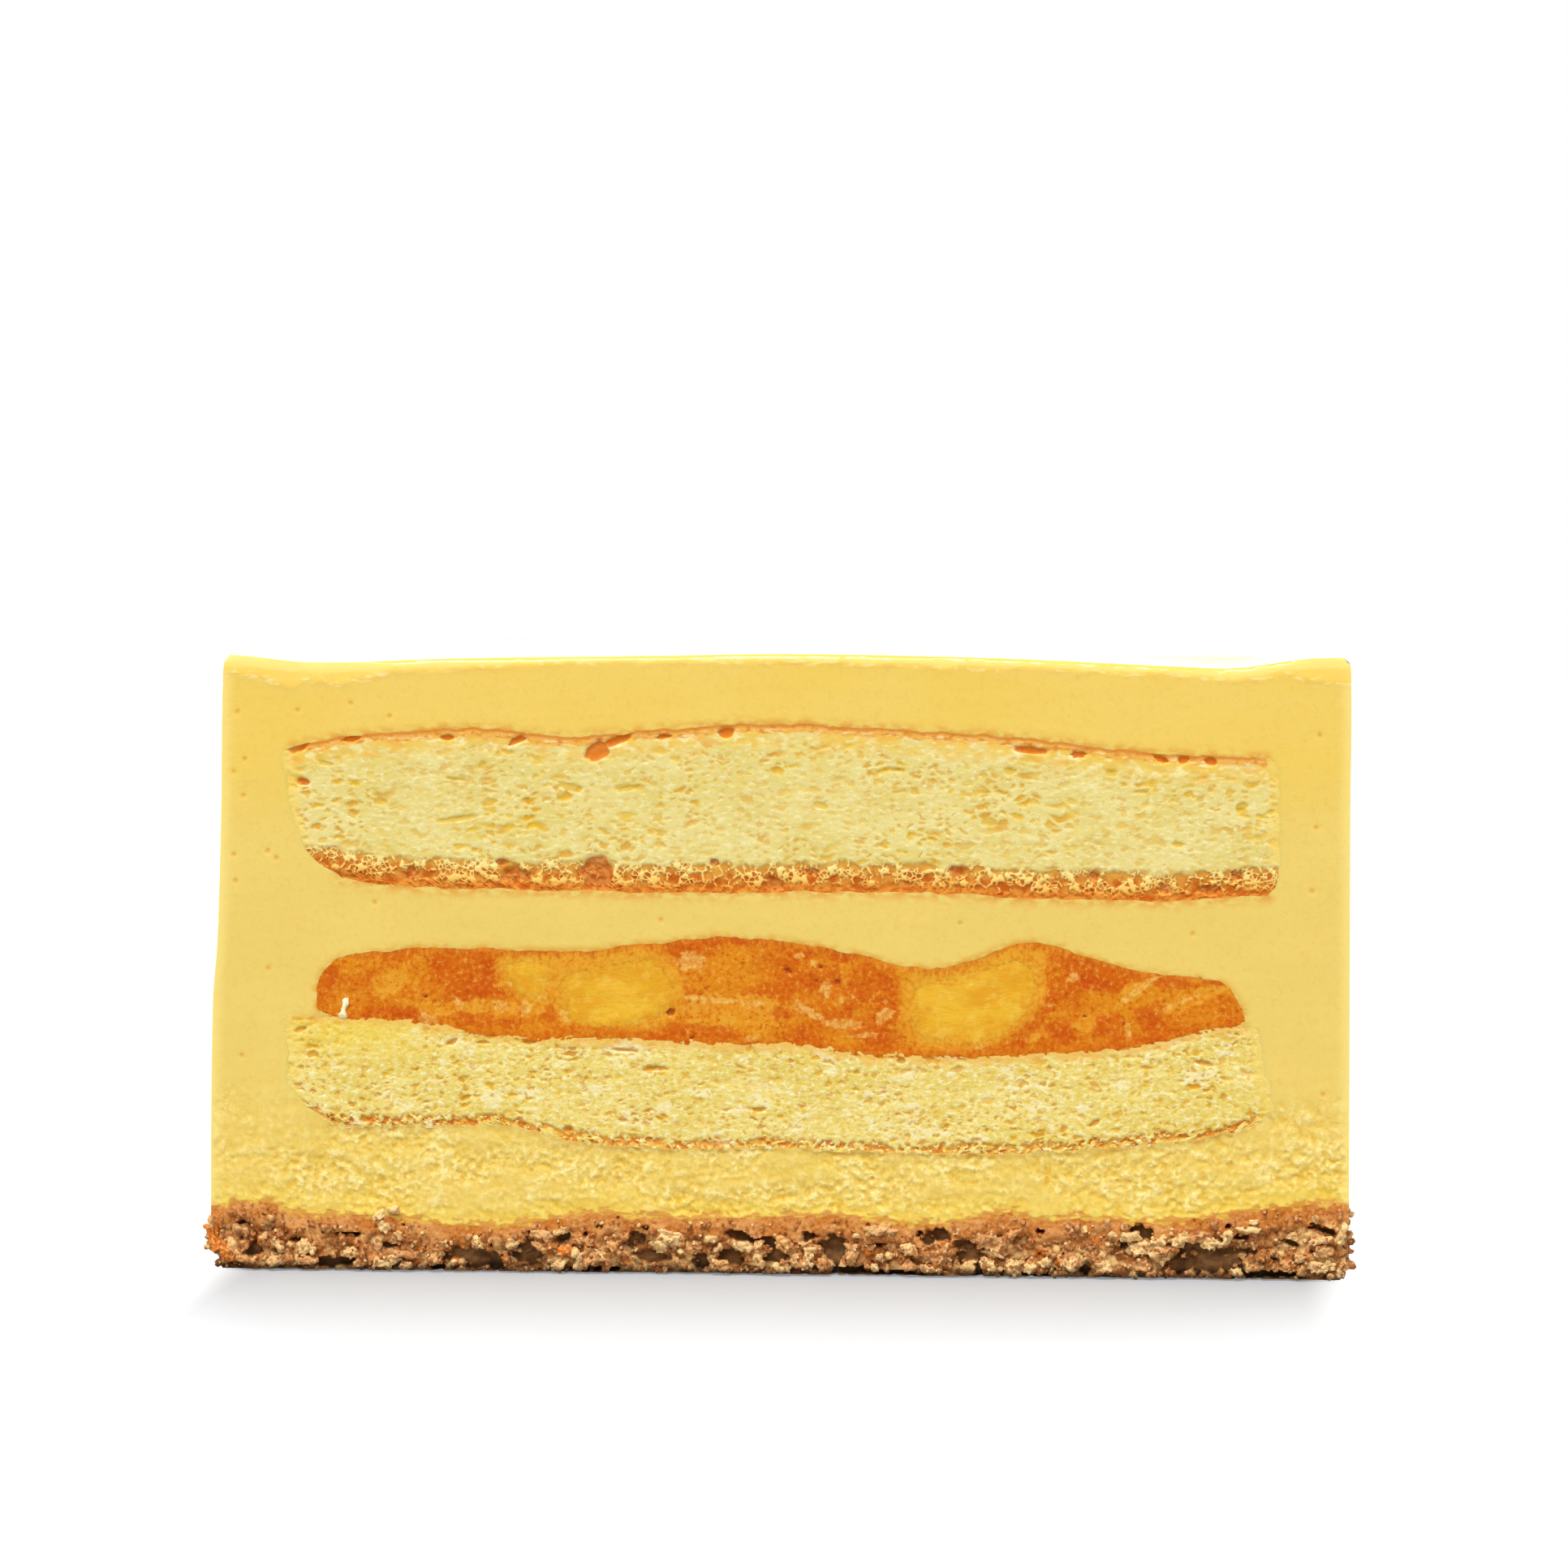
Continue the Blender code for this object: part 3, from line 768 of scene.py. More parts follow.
def slits(place, across, up, kept, widest, seed):
    """Bubbles pressed flat: cells of this size, of which only a share are open."""
    distance = cells(place, across, up, seed)
    lucky = pick(Field(distance.socket.node, 1))
    return distance.rise(widest, widest / 2) * lucky.rise(kept, kept - LUCK_BLUR)


def all_slits(place, kinds):
    """Slits of several kinds, each with its width, height, share open, opening, seed and depth."""
    return functools.reduce(Field.largest, [slits(place, *kind) * depth for *kind, depth in kinds])


def foam(place, across, up, kept, seed):
    """Bubbles that touch, with thin walls between them."""
    wall = cells(place, across, up, seed, "DISTANCE_TO_EDGE")
    lucky = pick(cells(place, across, up, seed, output=1), 1)
    return wall.rise(WALL_INSIDE, WALL_OUTSIDE) * lucky.rise(kept, kept - LUCK_BLUR)


def upper_pattern(place, above, below):
    """Pores, browned skin, the bubbles in it, and crust, each from 0 to 1."""
    loose = bent(bent(place, 1.0, 3.2, seed=1.0), 0.4, 0.8, seed=16.0)
    pores = all_slits(loose, UPPER_SLITS)
    pores = pores * clouds(place, 14, 8, seed=6.0).rise(0.38, 0.6, 0.5, 1.0) * below.rise(1.2, 2.6)
    skin = above.frayed(clouds(place, 2.4, seed=2.0), 2.0).rise(SKIN_GONE, SKIN_FULL)
    net = bent(place, 0.2, 0.8, seed=5.0)
    bubbles = functools.reduce(Field.largest, [foam(net, *kind) for kind in SKIN_BUBBLES])
    crust = below.frayed(clouds(place, 2.2, seed=8.0), 0.8).rise(1.2, 0.8)
    return pores * (1.0 - skin), skin, bubbles, crust


# %% Upper sponge: mesh
SPONGE_STEP = 0.19
upper_block = layer_block("upper_sponge_crumb", upper_sponge, SPONGE_STEP)
mark_hollows(upper_block, hollow=CRUST_HOLLOWS, crumb_hollow=CRUMB_HOLLOWS, skin_hollow=BROWN_SKIN_HOLLOWS)

# %% Upper sponge: finish
upper_finish, upper_shader, _ = new_finish(
    "upper_sponge_crumb", soft=(0.3, 0.6, (1.0, 0.8, 0.35)), Roughness=0.75, Specular_IOR_Level=0.12,
)
tree = upper_finish.node_tree
place, above, below = rest_place(tree), stored(tree, "above_foot"), stored(tree, "below_top")
pore, skin, bubbles, crust = upper_pattern(place, above, below)
patches = clouds(place, 9, 5, seed=4.0).rise(0.36, 0.64)
ripple = grit(place, 0.9, 0.42, seed=8.0)
moist = below.rise(4.0, 0.8) * clouds(place, 4.0, 1.8, seed=2.0).rise(0.28, 0.54)
wet = clouds(place, 1.8, 1.0, seed=5.0, detail=3.0).rise(0.5, 0.64)
moist_colour = blend(wet, (243, 200, 78), (254, 238, 172))
stains = clouds(place, 3.4, 1.8, seed=15.0).rise(0.56, 0.68) * below.rise(5.0, 1.5)
# The two ripple coats follow the grit that also raises the grain: the pale one is a painted highlight where
# the grain stands out, the darker yellow one partly the crumb's own yellow and partly painted shade where it
# sinks.
crumb = coats(
    blend(patches, (236, 220, 143), (230, 211, 126)),
    (ripple.rise(0.5, 0.68) * 0.6, (250, 241, 186)),
    (ripple.rise(0.46, 0.32) * 0.45, (232, 198, 82)),
    (pore * 0.95, blend(clouds(place, 5, seed=17.0).rise(0.4, 0.6), (232, 186, 36), (220, 158, 26))),
    (moist * 0.9, moist_colour),
    (stains * 0.65, (243, 180, 76)),
)
brown = blend(clouds(place, 1.3, seed=3.0).rise(0.35, 0.65), (196, 96, 16), (222, 150, 56))
brown = blend(above.rise(1.8, 3.4) * 0.6, brown, (226, 178, 72))
walls = blend(above.rise(0.3, 1.5), (234, 152, 48), (250, 206, 108))
walls = blend(above.rise(1.5, 3.1), walls, (251, 228, 144))
solid = above.frayed(clouds(place, 1.6, 0.8, seed=18.0), 1.2).rise(1.1, 0.3)
baked = blend(clouds(place, 0.8, 0.5, seed=19.0, detail=3.0).rise(0.4, 0.6), (200, 90, 8), (232, 148, 50))
# Painted highlights: pale glints in the crust, a little below its top line.
painted_glints = clouds(place, 1.5, 0.4, seed=9.0, detail=3.0).rise(0.52, 0.64) * below.rise(0.3, 0.7)
crust_colour = coats(
    blend(below.rise(0.5, 0.1), (241, 178, 78), (218, 132, 42)),
    (clouds(place, 1.0, 0.6, seed=10.0, detail=3.0).rise(0.5, 0.62) * 0.7, (212, 118, 24)),
    (painted_glints * 0.8, (254, 232, 170)),
)
pocket = blend(clouds(place, 0.7, seed=20.0).rise(0.4, 0.6), (196, 96, 22), (220, 140, 60))
fading = stored(tree, "from_end").frayed(clouds(place, 2.0, seed=21.0), 3.0).rise(2.0, 0.0)
fading = fading * above.rise(3.0, 5.0)
colour = coats(
    blend(skin, crumb, blend(bubbles, walls, brown)),
    (solid * 0.75, baked),
    (crust * 0.9, crust_colour),
    (stored(tree, "crumb_hollow").rise(0.2, 0.7) * 0.7, (222, 178, 40)),
    (stored(tree, "hollow").rise(0.2, 0.6) * 0.9, (224, 118, 10)),
    (stored(tree, "skin_hollow").rise(0.3, 0.7) * 0.85, pocket),
    (fading * 0.85, (245, 212, 106)),
)
plug(colour, upper_shader, "Base Color")
roughen(upper_shader, clouds(place, 0.3, seed=1.0, detail=3.0), 0.05)

# %% Upper sponge: relief
tree, mesh, place, size = new_growth(
    "browned sponge", {"Slit depth": 0.13, "Hollow depth": 0.34, "Bubble depth": 0.2, "Grain": 0.09},
)
pores, skin, bubbles, crust = upper_pattern(place, stored(tree, "above_foot"), stored(tree, "below_top"))
grain = grit(place, 0.9, 0.42, seed=8.0) + clouds(place, 2.6, 1.6, seed=12.0) - 1.0
inward = pores * size["Slit depth"] + stored(tree, "crumb_hollow") * size["Slit depth"]
inward = inward + stored(tree, "hollow").largest(stored(tree, "skin_hollow")) * size["Hollow depth"]
inward = inward + skin * bubbles * size["Bubble depth"] - grain * size["Grain"]
end_growth(push(mesh, inward * stored(tree, "front")), upper_finish)
grow(upper_block, tree)
finish_piece(upper_block, "sponge", "upper_sponge")

# %% [markdown]
# ## Lower sponge
# The second sponge was torn more than cut, so its face is shaggy: coarse grains stand out and slits tear
# into it. Its browned skin shows only as a broken dotted line at its foot. The same slits serve, with
# rougher grain round them.

# %% Tears and browned specks of the lower sponge
LOWER_SPONGE_HOLLOWS = [
    (-18.5, 27.4, 1.5, 0.25, -4), (-14.5, 25.2, 1.3, 0.3, 0), (-2.1, 20.2, 0.8, 0.3, 0),
    (52.4, 26.3, 1.5, 0.3, -10), (15.5, 26.3, 0.6, 0.3, 0), (-58.7, 29.6, 0.8, 0.3, 20),
    (-39.8, 28.3, 0.7, 0.3, 25), (-30.3, 28.3, 0.8, 0.35, 0), (-36.0, 28.2, 0.7, 0.25, 0),
    (-25.5, 17.7, 0.7, 0.35, 0), (39.0, 18.8, 0.6, 0.3, 30),
]
LOWER_SPONGE_SPECKS = [
    (-56.4, 18.9, 1.6, 0.7, -35), (-59.2, 20.4, 0.8, 0.4, -20), (-44.0, 17.9, 0.8, 0.5, 0),
    (-50.0, 18.6, 1.2, 0.4, 0), (-38.0, 18.4, 1.4, 0.4, 0), (-25.4, 17.2, 0.8, 0.5, 20),
    (-19.1, 15.8, 1.4, 0.6, 0), (-14.6, 16.0, 1.0, 0.4, 0), (40.1, 16.2, 0.9, 0.5, 0),
    (58.6, 18.2, 0.7, 1.0, 30), (-30.0, 17.6, 0.8, 0.4, 0), (-8.0, 15.9, 1.6, 0.35, 0),
    (3.0, 15.8, 1.2, 0.3, 0), (12.0, 15.6, 1.5, 0.35, 0), (22.0, 15.5, 1.0, 0.3, 0),
    (31.0, 15.8, 1.2, 0.35, 0), (48.0, 17.0, 1.3, 0.35, 10), (54.0, 17.7, 1.2, 0.35, 10),
]

# %% Lower sponge: pattern, the same for relief and colour
LOWER_SLITS = [
    (0.85, 0.42, 0.62, 0.46, 23.0, 0.65), (1.6, 0.7, 0.45, 0.43, 27.0, 0.9),
    (3.2, 1.1, 0.22, 0.38, 31.0, 1.0),
]


def lower_pattern(place, above):
    """Pores and browned crumbs along the foot, each from 0 to 1."""
    loose = bent(bent(place, 0.8, 2.6, seed=21.0), 0.4, 0.7, seed=28.0)
    pores = all_slits(loose, LOWER_SLITS) * clouds(place, 11, 6, seed=26.0).rise(0.34, 0.58, 0.45, 1.0)
    line = above.frayed(clouds(place, 3.0, seed=24.0), 1.4).rise(1.5, 0.9)
    line = line * clouds(place, 0.6, 0.5, seed=30.0).rise(0.47, 0.54)
    return pores, line.largest(stored(place.tree, "speck") * clouds(place, 0.7, seed=7.0).rise(0.32, 0.5))


# %% Lower sponge: mesh
lower_block = layer_block("lower_sponge_crumb", lower_sponge, SPONGE_STEP)
mark_hollows(lower_block, hollow=LOWER_SPONGE_HOLLOWS, speck=LOWER_SPONGE_SPECKS)

# %% Lower sponge: finish
lower_finish, lower_shader, _ = new_finish(
    "lower_sponge_crumb", soft=(0.3, 0.6, (1.0, 0.8, 0.35)), Roughness=0.78, Specular_IOR_Level=0.12,
)
tree = lower_finish.node_tree
place, above, below = rest_place(tree), stored(tree, "above_foot"), stored(tree, "below_top")
pore, browned = lower_pattern(place, above)
patches = clouds(place, 7, 4, seed=14.0).rise(0.36, 0.64)
grains = grit(place, 0.8, 0.48, seed=18.0)
fluff = clouds(place, 3.2, 1.6, seed=32.0, detail=4.0, roughness=0.6).rise(0.56, 0.66)
at_left = pick(place).rise(-36, -52) * below.rise(7.0, 1.0)
soaked = below.frayed(clouds(place, 2.4, seed=22.0), 2.4).rise(1.4, 0.2)
# The two grains coats follow the grit that also raises the grain: the pale one is a painted highlight where
# the grain stands out, the darker yellow one partly the crumb's own yellow and partly painted shade where it
# sinks.
crumb = coats(
    blend(patches, (241, 220, 130), (234, 210, 112)),
    (grains.rise(0.47, 0.34) * 0.75, (230, 192, 66)),
    (grains.rise(0.51, 0.65) * 0.85, (251, 242, 186)),
    (fluff * 0.5, (252, 246, 206)),
    (pore * 0.95, blend(clouds(place, 5, seed=17.0).rise(0.4, 0.6), (228, 172, 26), (208, 142, 20))),
    (at_left * 0.6, (243, 210, 70)),
    (soaked * 0.7, (240, 184, 84)),
)
baked = blend(clouds(place, 0.7, seed=5.0).rise(0.42, 0.58), (216, 118, 14), (236, 172, 66))
fading = stored(tree, "from_end").frayed(clouds(place, 2.0, seed=33.0), 3.2).rise(2.4, 0.0)
colour = coats(
    blend(browned * 0.9, crumb, baked),
    (stored(tree, "hollow").rise(0.2, 0.8) * 0.8, (220, 146, 26)),
    (fading * 0.8, (244, 214, 110)),
)
plug(colour, lower_shader, "Base Color")
roughen(lower_shader, clouds(place, 0.3, seed=1.0, detail=3.0), 0.08)

# %% Lower sponge: relief
tree, mesh, place, size = new_growth(
    "torn sponge", {"Slit depth": 0.15, "Tear depth": 0.22, "Speck depth": 0.25, "Grain": 0.13},
)
pores, browned = lower_pattern(place, stored(tree, "above_foot"))
grain = grit(place, 0.8, 0.48, seed=18.0) + clouds(place, 2.6, 1.5, seed=29.0) - 1.0
inward = pores * size["Slit depth"] - grain * size["Grain"] + browned * size["Speck depth"]
inward = inward + stored(tree, "hollow") * size["Tear depth"]
end_growth(push(mesh, inward * stored(tree, "front")), lower_finish)
grow(lower_block, tree)
finish_piece(lower_block, "sponge", "lower_sponge")

# %% [markdown]
# ## Mango filling
# The filling is a set fruit purée: mostly clear orange jelly, with a grainy skin, paler where fruit lies
# near the surface and almost red where it is thickest, along its foot. Three pieces of fruit were cut
# through with it.

# %% Fruit pieces: outlines at the cut in millimetres, and how they narrow, as depth and share of the width
FRUIT_PIECES = {
    "mango_piece_left": [
        (-33.2, 38.0), (-32.4, 35.0), (-29.4, 33.6), (-27.8, 35.4), (-27.4, 37.6), (-30.0, 38.6),
    ],
    "mango_piece_middle": [
        (-26.0, 36.8), (-26.4, 33.6), (-24.6, 30.6), (-18.4, 30.2), (-13.8, 31.8), (-12.2, 34.4),
        (-13.4, 37.2), (-16.0, 38.8), (-20.6, 38.0),
    ],
    "mango_piece_right": [
        (17.6, 36.2), (16.6, 32.8), (18.2, 28.9), (25.4, 28.5), (29.2, 30.4), (31.8, 33.8), (31.7, 37.4),
        (29.4, 39.0), (25.6, 37.8), (21.8, 36.7),
    ],
}
FRUIT_BACK = [(3, 0.98), (5.5, 0.9), (7.2, 0.74), (8, 0.5)]

# %% Golden, deep and pale patches in the jelly, as x, z, half width, half height in mm and turn in degrees
GOLDEN_PATCHES = [
    (-29, 37, 4.5, 2.4, 0), (-28.5, 33.6, 2.6, 1.6, 30), (-20, 38, 6.5, 1.8, 8), (-25.5, 34, 3, 3.4, 0),
    (-13.5, 35.5, 2.2, 3, 0), (-6, 32, 6.5, 2.2, -3), (-5, 33.3, 6, 0.9, -2), (24, 37.5, 7.5, 2.6, 10),
    (18, 32, 2.6, 4.4, 0), (29.5, 38.6, 3.4, 2, 0), (21, 28.6, 5, 1.4, 0), (30.5, 33, 2, 4.4, -15),
    (38.8, 31, 2, 1.2, 0), (15.6, 30.4, 1.5, 1.2, 30), (51, 34, 4.4, 1, 22), (44.2, 35, 2.6, 1, 35),
    (-39, 32.4, 5, 1.1, 0), (-47, 36, 3, 1.5, 20),
]
DEEP_PATCHES = [
    (-41.5, 38, 1.2, 1.7, 0), (-35.3, 36.5, 1, 2.4, 0), (-37.5, 34.6, 4, 1, 4), (-31, 35, 1.5, 1, 0),
    (-37, 31, 3.4, 0.8, -3), (-32.6, 30.5, 2, 0.7, -8), (-27.6, 31.8, 1.2, 1.2, 50),
    (-21, 29.7, 5.5, 0.7, -2), (-13.6, 30, 3.6, 1.1, 0), (-55, 36.2, 1.2, 1.8, 0), (-47, 31.8, 5, 0.8, 0),
    (-8.5, 29.8, 4, 0.7, -4), (-7.6, 40.6, 1.3, 0.5, 0), (-4.4, 40.9, 1.3, 0.5, 0),
    (3.4, 39.2, 2.4, 0.6, 0), (8.4, 38.9, 2, 0.8, -10), (12.6, 35.6, 3.4, 2, -10), (9.2, 32.7, 1, 0.8, 0),
    (3.3, 29.8, 0.9, 0.8, 0), (3.4, 28.9, 3.2, 0.45, -5), (0.9, 32, 1.1, 0.9, 0),
    (13.5, 29.4, 2.2, 1.1, 10), (17.2, 30.6, 0.8, 1.5, 0), (38, 37.6, 4.4, 1.4, -14), (39.4, 35.8, 3, 1, 0),
    (32, 32.4, 3.6, 1, 48), (26.8, 28, 2.4, 0.3, 8), (30.2, 29.2, 1.2, 0.9, 30), (41.4, 28.3, 1.4, 0.45, 0),
    (35, 30, 1.6, 1.2, -30), (41.2, 30.8, 2, 1.8, 0), (46, 31, 1.8, 2.6, 20), (48.4, 36, 3, 0.7, -6),
    (53.6, 36.4, 2, 0.5, -8), (6.4, 36.8, 2.4, 1.2, 0),
]
PALE_PATCHES = [
    (-38.9, 32.8, 0.9, 0.8, 0), (-33.8, 32.7, 1.3, 0.7, -10), (-30.8, 32.6, 0.8, 1, 0),
    (-25.9, 31.6, 0.5, 1.1, 10), (-32.6, 35.4, 0.5, 0.4, 0), (-28.6, 33.8, 0.6, 0.3, 0),
    (-42.8, 31, 1.0, 0.8, 0), (-10.2, 38.4, 2.2, 1.4, 0), (-8, 33.6, 3.2, 0.4, -3), (-2.4, 33.2, 2, 0.4, 0),
    (4.4, 32.1, 2.4, 0.6, -28), (13.2, 31.8, 1.5, 0.7, 35), (19.8, 34.4, 1.3, 0.35, 0),
    (3, 39.1, 0.9, 0.35, 0), (6.2, 35.2, 0.7, 1, 0), (8.1, 33.6, 0.25, 0.8, 0), (7.8, 30.9, 2.2, 0.8, 0),
    (9.5, 34.2, 0.9, 0.2, -40), (-3, 28.9, 0.9, 0.4, 0), (5, 38.2, 0.5, 0.5, 0), (36.6, 36.6, 0.9, 0.5, 0),
    (43.8, 34.7, 2, 0.35, 38), (46.4, 36.6, 1.7, 0.3, 22), (49.4, 33.6, 3.2, 0.3, 24),
    (43.2, 30.2, 0.35, 1.5, 0), (33.7, 33.2, 0.4, 0.3, 0), (25.3, 28.1, 1, 0.25, 20),
    (13.6, 33.6, 0.4, 0.3, 0), (10.6, 29.4, 2.2, 0.3, 5),
]
WHITE_CURL = [(-53.0, 33.2, 0.4, 0.4, 0), (-53.2, 32.4, 0.25, 0.6, -12), (-53.5, 31.5, 0.45, 0.4, 0)]
JELLY_BUBBLES = [
    (-12.8, 32.1, 0.5, 0.45, 0), (1.6, 37.3, 0.5, 0.3, -30), (7.7, 35.9, 0.4, 0.35, 20),
    (37.9, 32.0, 0.2, 0.2, 0), (42.6, 31.0, 0.2, 0.2, 0), (5.7, 37.7, 0.25, 0.2, 0),
    (5.2, 36.1, 0.25, 0.2, 0), (-10.2, 28.9, 0.3, 0.2, 0), (-43, 33.8, 0.3, 0.2, 0),
]


def smooth_outline(corners, steps):
    """A closed curve through the corners."""
    points = np.array(corners, float)
    before, start = np.roll(points, 1, axis=0), points
    end, after = np.roll(points, -1, axis=0), np.roll(points, -2, axis=0)
    t = (np.arange(steps) / steps)[None, :, None]
    before, start, end, after = (p[:, None, :] for p in (before, start, end, after))
    bend = (2 * before - 5 * start + 4 * end - after) * t + (3 * start - before - 3 * end + after) * t * t
    return (start + 0.5 * t * ((end - before) + bend)).reshape(-1, 2)


def signed_distance(x, z, outline):
    """Distance to a closed outline, below zero inside it."""
    points = np.column_stack([x, z])
    distance = nearest(points, outline)
    a, b = outline, np.roll(outline, -1, axis=0)
    inside = np.zeros(len(points), bool)
    for (ax, az), (bx, bz) in zip(a, b):
        crosses = (az > z) != (bz > z)
        inside ^= crosses & (x < (bx - ax) * (z - az) / np.where(bz == az, 1e-9, bz - az) + ax)
    return np.where(inside, -distance, distance)


# %% Filling: mesh
JELLY_STEP = 0.25
JELLY_SWELL = 0.24
FRUIT_BED = 0.5
SOFT_PATCH = 0.9
FAR_FROM_FRUIT = 9.0
jelly_block = layer_block("mango_jelly", filling, JELLY_STEP)
mark_hollows(jelly_block, curl=WHITE_CURL, bubble=JELLY_BUBBLES)
places, on_face = mark_hollows(
    jelly_block, SOFT_PATCH, golden=GOLDEN_PATCHES, deep=DEEP_PATCHES, pale=PALE_PATCHES,
)
beside_fruit = np.full(len(places), FAR_FROM_FRUIT)
for corners in FRUIT_PIECES.values():
    distance = signed_distance(places[on_face, 0], places[on_face, 2], smooth_outline(corners, 8))
    beside_fruit[on_face] = np.minimum(beside_fruit[on_face], distance)
store_values(jelly_block, beside_fruit=beside_fruit)
print(int((beside_fruit < 0).sum()), "of its points are under fruit")

# %% Filling: noise that the jelly and the flesh share
def fruit_noise(place):
    """Fine granules and larger soft spots."""
    granules = clouds(place, 0.6, seed=35.0, detail=4.0, roughness=0.7)
    return granules, clouds(place, 1.5, seed=36.0, detail=4.0, roughness=0.6)


def fruit_edge(distance, spots, place):
    """The distance to the outline of the fruit, made uneven."""
    return distance.frayed(spots, 5.0).frayed(clouds(place, 4.0, seed=38.0), 3.0)


# %% Filling: finish
jelly_finish, jelly_shader, _ = new_finish(
    "mango_jelly", soft=(0.3, 1.0, (1.0, 0.45, 0.12)), Roughness=0.38, Specular_IOR_Level=0.1,
)
tree = jelly_finish.node_tree
place, above, below = rest_place(tree), stored(tree, "above_foot"), stored(tree, "below_top")
thick = clouds(bent(place, 1.5, 5.0, seed=2.0), 8, 4.5, seed=33.0, detail=3.0)
jelly = blend(thick.rise(0.36, 0.62), (212, 104, 4), (225, 140, 20))
granules, soft_spots = fruit_noise(place)


def patch(label):
    """A patch kept on the points, with its edge broken up by the spots in the jelly."""
    return stored(tree, label).frayed(soft_spots, 1.8).rise(0.3, 0.7)


near_fruit = fruit_edge(stored(tree, "beside_fruit"), soft_spots, place).rise(1.6, 0.0)
foot_skin = above.frayed(clouds(place, 3.4, 2.0, seed=41.0), 4.0).rise(1.6, 0.2)
strokes = clouds(place, 0.5, 1.6, seed=39.0, detail=3.0)
top_skin = below.frayed(strokes, 3.0).rise(0.9, 0.2)
pale = stored(tree, "pale").frayed(granules, 1.2).rise(0.35, 0.95)
jelly = coats(
    jelly,
    (patch("golden") * 0.75, blend(soft_spots.rise(0.4, 0.6), (228, 146, 22), (236, 172, 48))),
    (patch("deep") * 0.75, blend(soft_spots.rise(0.4, 0.6), (202, 78, 0), (212, 102, 6))),
    (granules.rise(0.52, 0.66) * 0.6, (238, 174, 66)),
    (granules.rise(0.47, 0.34) * 0.75, (190, 72, 0)),
    (near_fruit * 0.8, blend(granules.rise(0.4, 0.6), (226, 152, 26), (236, 174, 52))),
    (foot_skin * 0.6, blend(granules.rise(0.4, 0.6), (208, 88, 0), (222, 122, 14))),
    (top_skin * 0.5, blend(strokes.rise(0.4, 0.55), (196, 88, 8), (222, 130, 36))),
    (pale * 0.6, blend(granules.rise(0.42, 0.62), (232, 166, 66), (246, 206, 116))),
    (stored(tree, "bubble").rise(0.2, 0.6) * 0.85, (172, 68, 8)),
    (stored(tree, "curl").rise(0.3, 0.6), (255, 248, 200)),
)
plug(jelly, jelly_shader, "Base Color")
roughen(jelly_shader, clouds(place, 0.4, seed=3.0, detail=3.0), 0.07)

# %% Filling: relief
tree, mesh, place, size = new_growth("grainy jelly", {
    "Grain": 0.12, "Swell": JELLY_SWELL, "Fruit bed": FRUIT_BED, "Bubble depth": 0.25, "Curl height": 0.3,
})
grain = clouds(place, 0.6, seed=42.0, detail=3.0) - 0.5
swell = clouds(place, 4, 3, seed=43.0) - 0.5
under_fruit = stored(tree, "beside_fruit").rise(-0.5, -1.2)
inward = grain * size["Grain"] + swell * size["Swell"] + under_fruit * size["Fruit bed"]
inward = inward + stored(tree, "bubble") * size["Bubble depth"] - stored(tree, "curl") * size["Curl height"]
end_growth(push(mesh, inward * stored(tree, "front")), jelly_finish)
grow(jelly_block, tree)
finish_piece(jelly_block, "mango_filling", "mango_filling")

# %% [markdown]
# The fruit has finer flesh than the jelly: smooth, yellow and faintly fibrous. Each piece is a set of rings
# from its middle to its outline, so the face can dome a little and sink at its edge, where jelly covers it.

# %% Fruit: finish
fruit_finish, fruit_shader, _ = new_finish(
    "mango_flesh", soft=(0.35, 1.2, (1.0, 0.6, 0.15)), Roughness=0.38, Specular_IOR_Level=0.1,
)
tree = fruit_finish.node_tree
place = rest_place(tree)
granules, soft_spots = fruit_noise(place)
rim = fruit_edge(stored(tree, "from_outline"), soft_spots, place).rise(1.6, -0.2)
flesh = coats(
    blend(clouds(place, 5, 3, seed=51.0, detail=3.0).rise(0.38, 0.62), (231, 168, 36), (238, 186, 50)),
    (soft_spots.rise(0.5, 0.66) * 0.5, (243, 200, 84)),
    (granules.rise(0.46, 0.32) * 0.4, (224, 148, 22)),
    (rim * 0.9, blend(granules.rise(0.4, 0.6), (226, 152, 26), (236, 174, 52))),
)
plug(flesh, fruit_shader, "Base Color")
roughen(fruit_shader, clouds(place, 0.6, 0.25, seed=54.0, detail=3.0), 0.05)

# %% Fruit: pieces
FRUIT_RINGS = 26
FRUIT_STANDS_OUT = 0.02
FRUIT_RIM_DIP = 0.03
FRUIT_RIM_WIDTH = 0.6


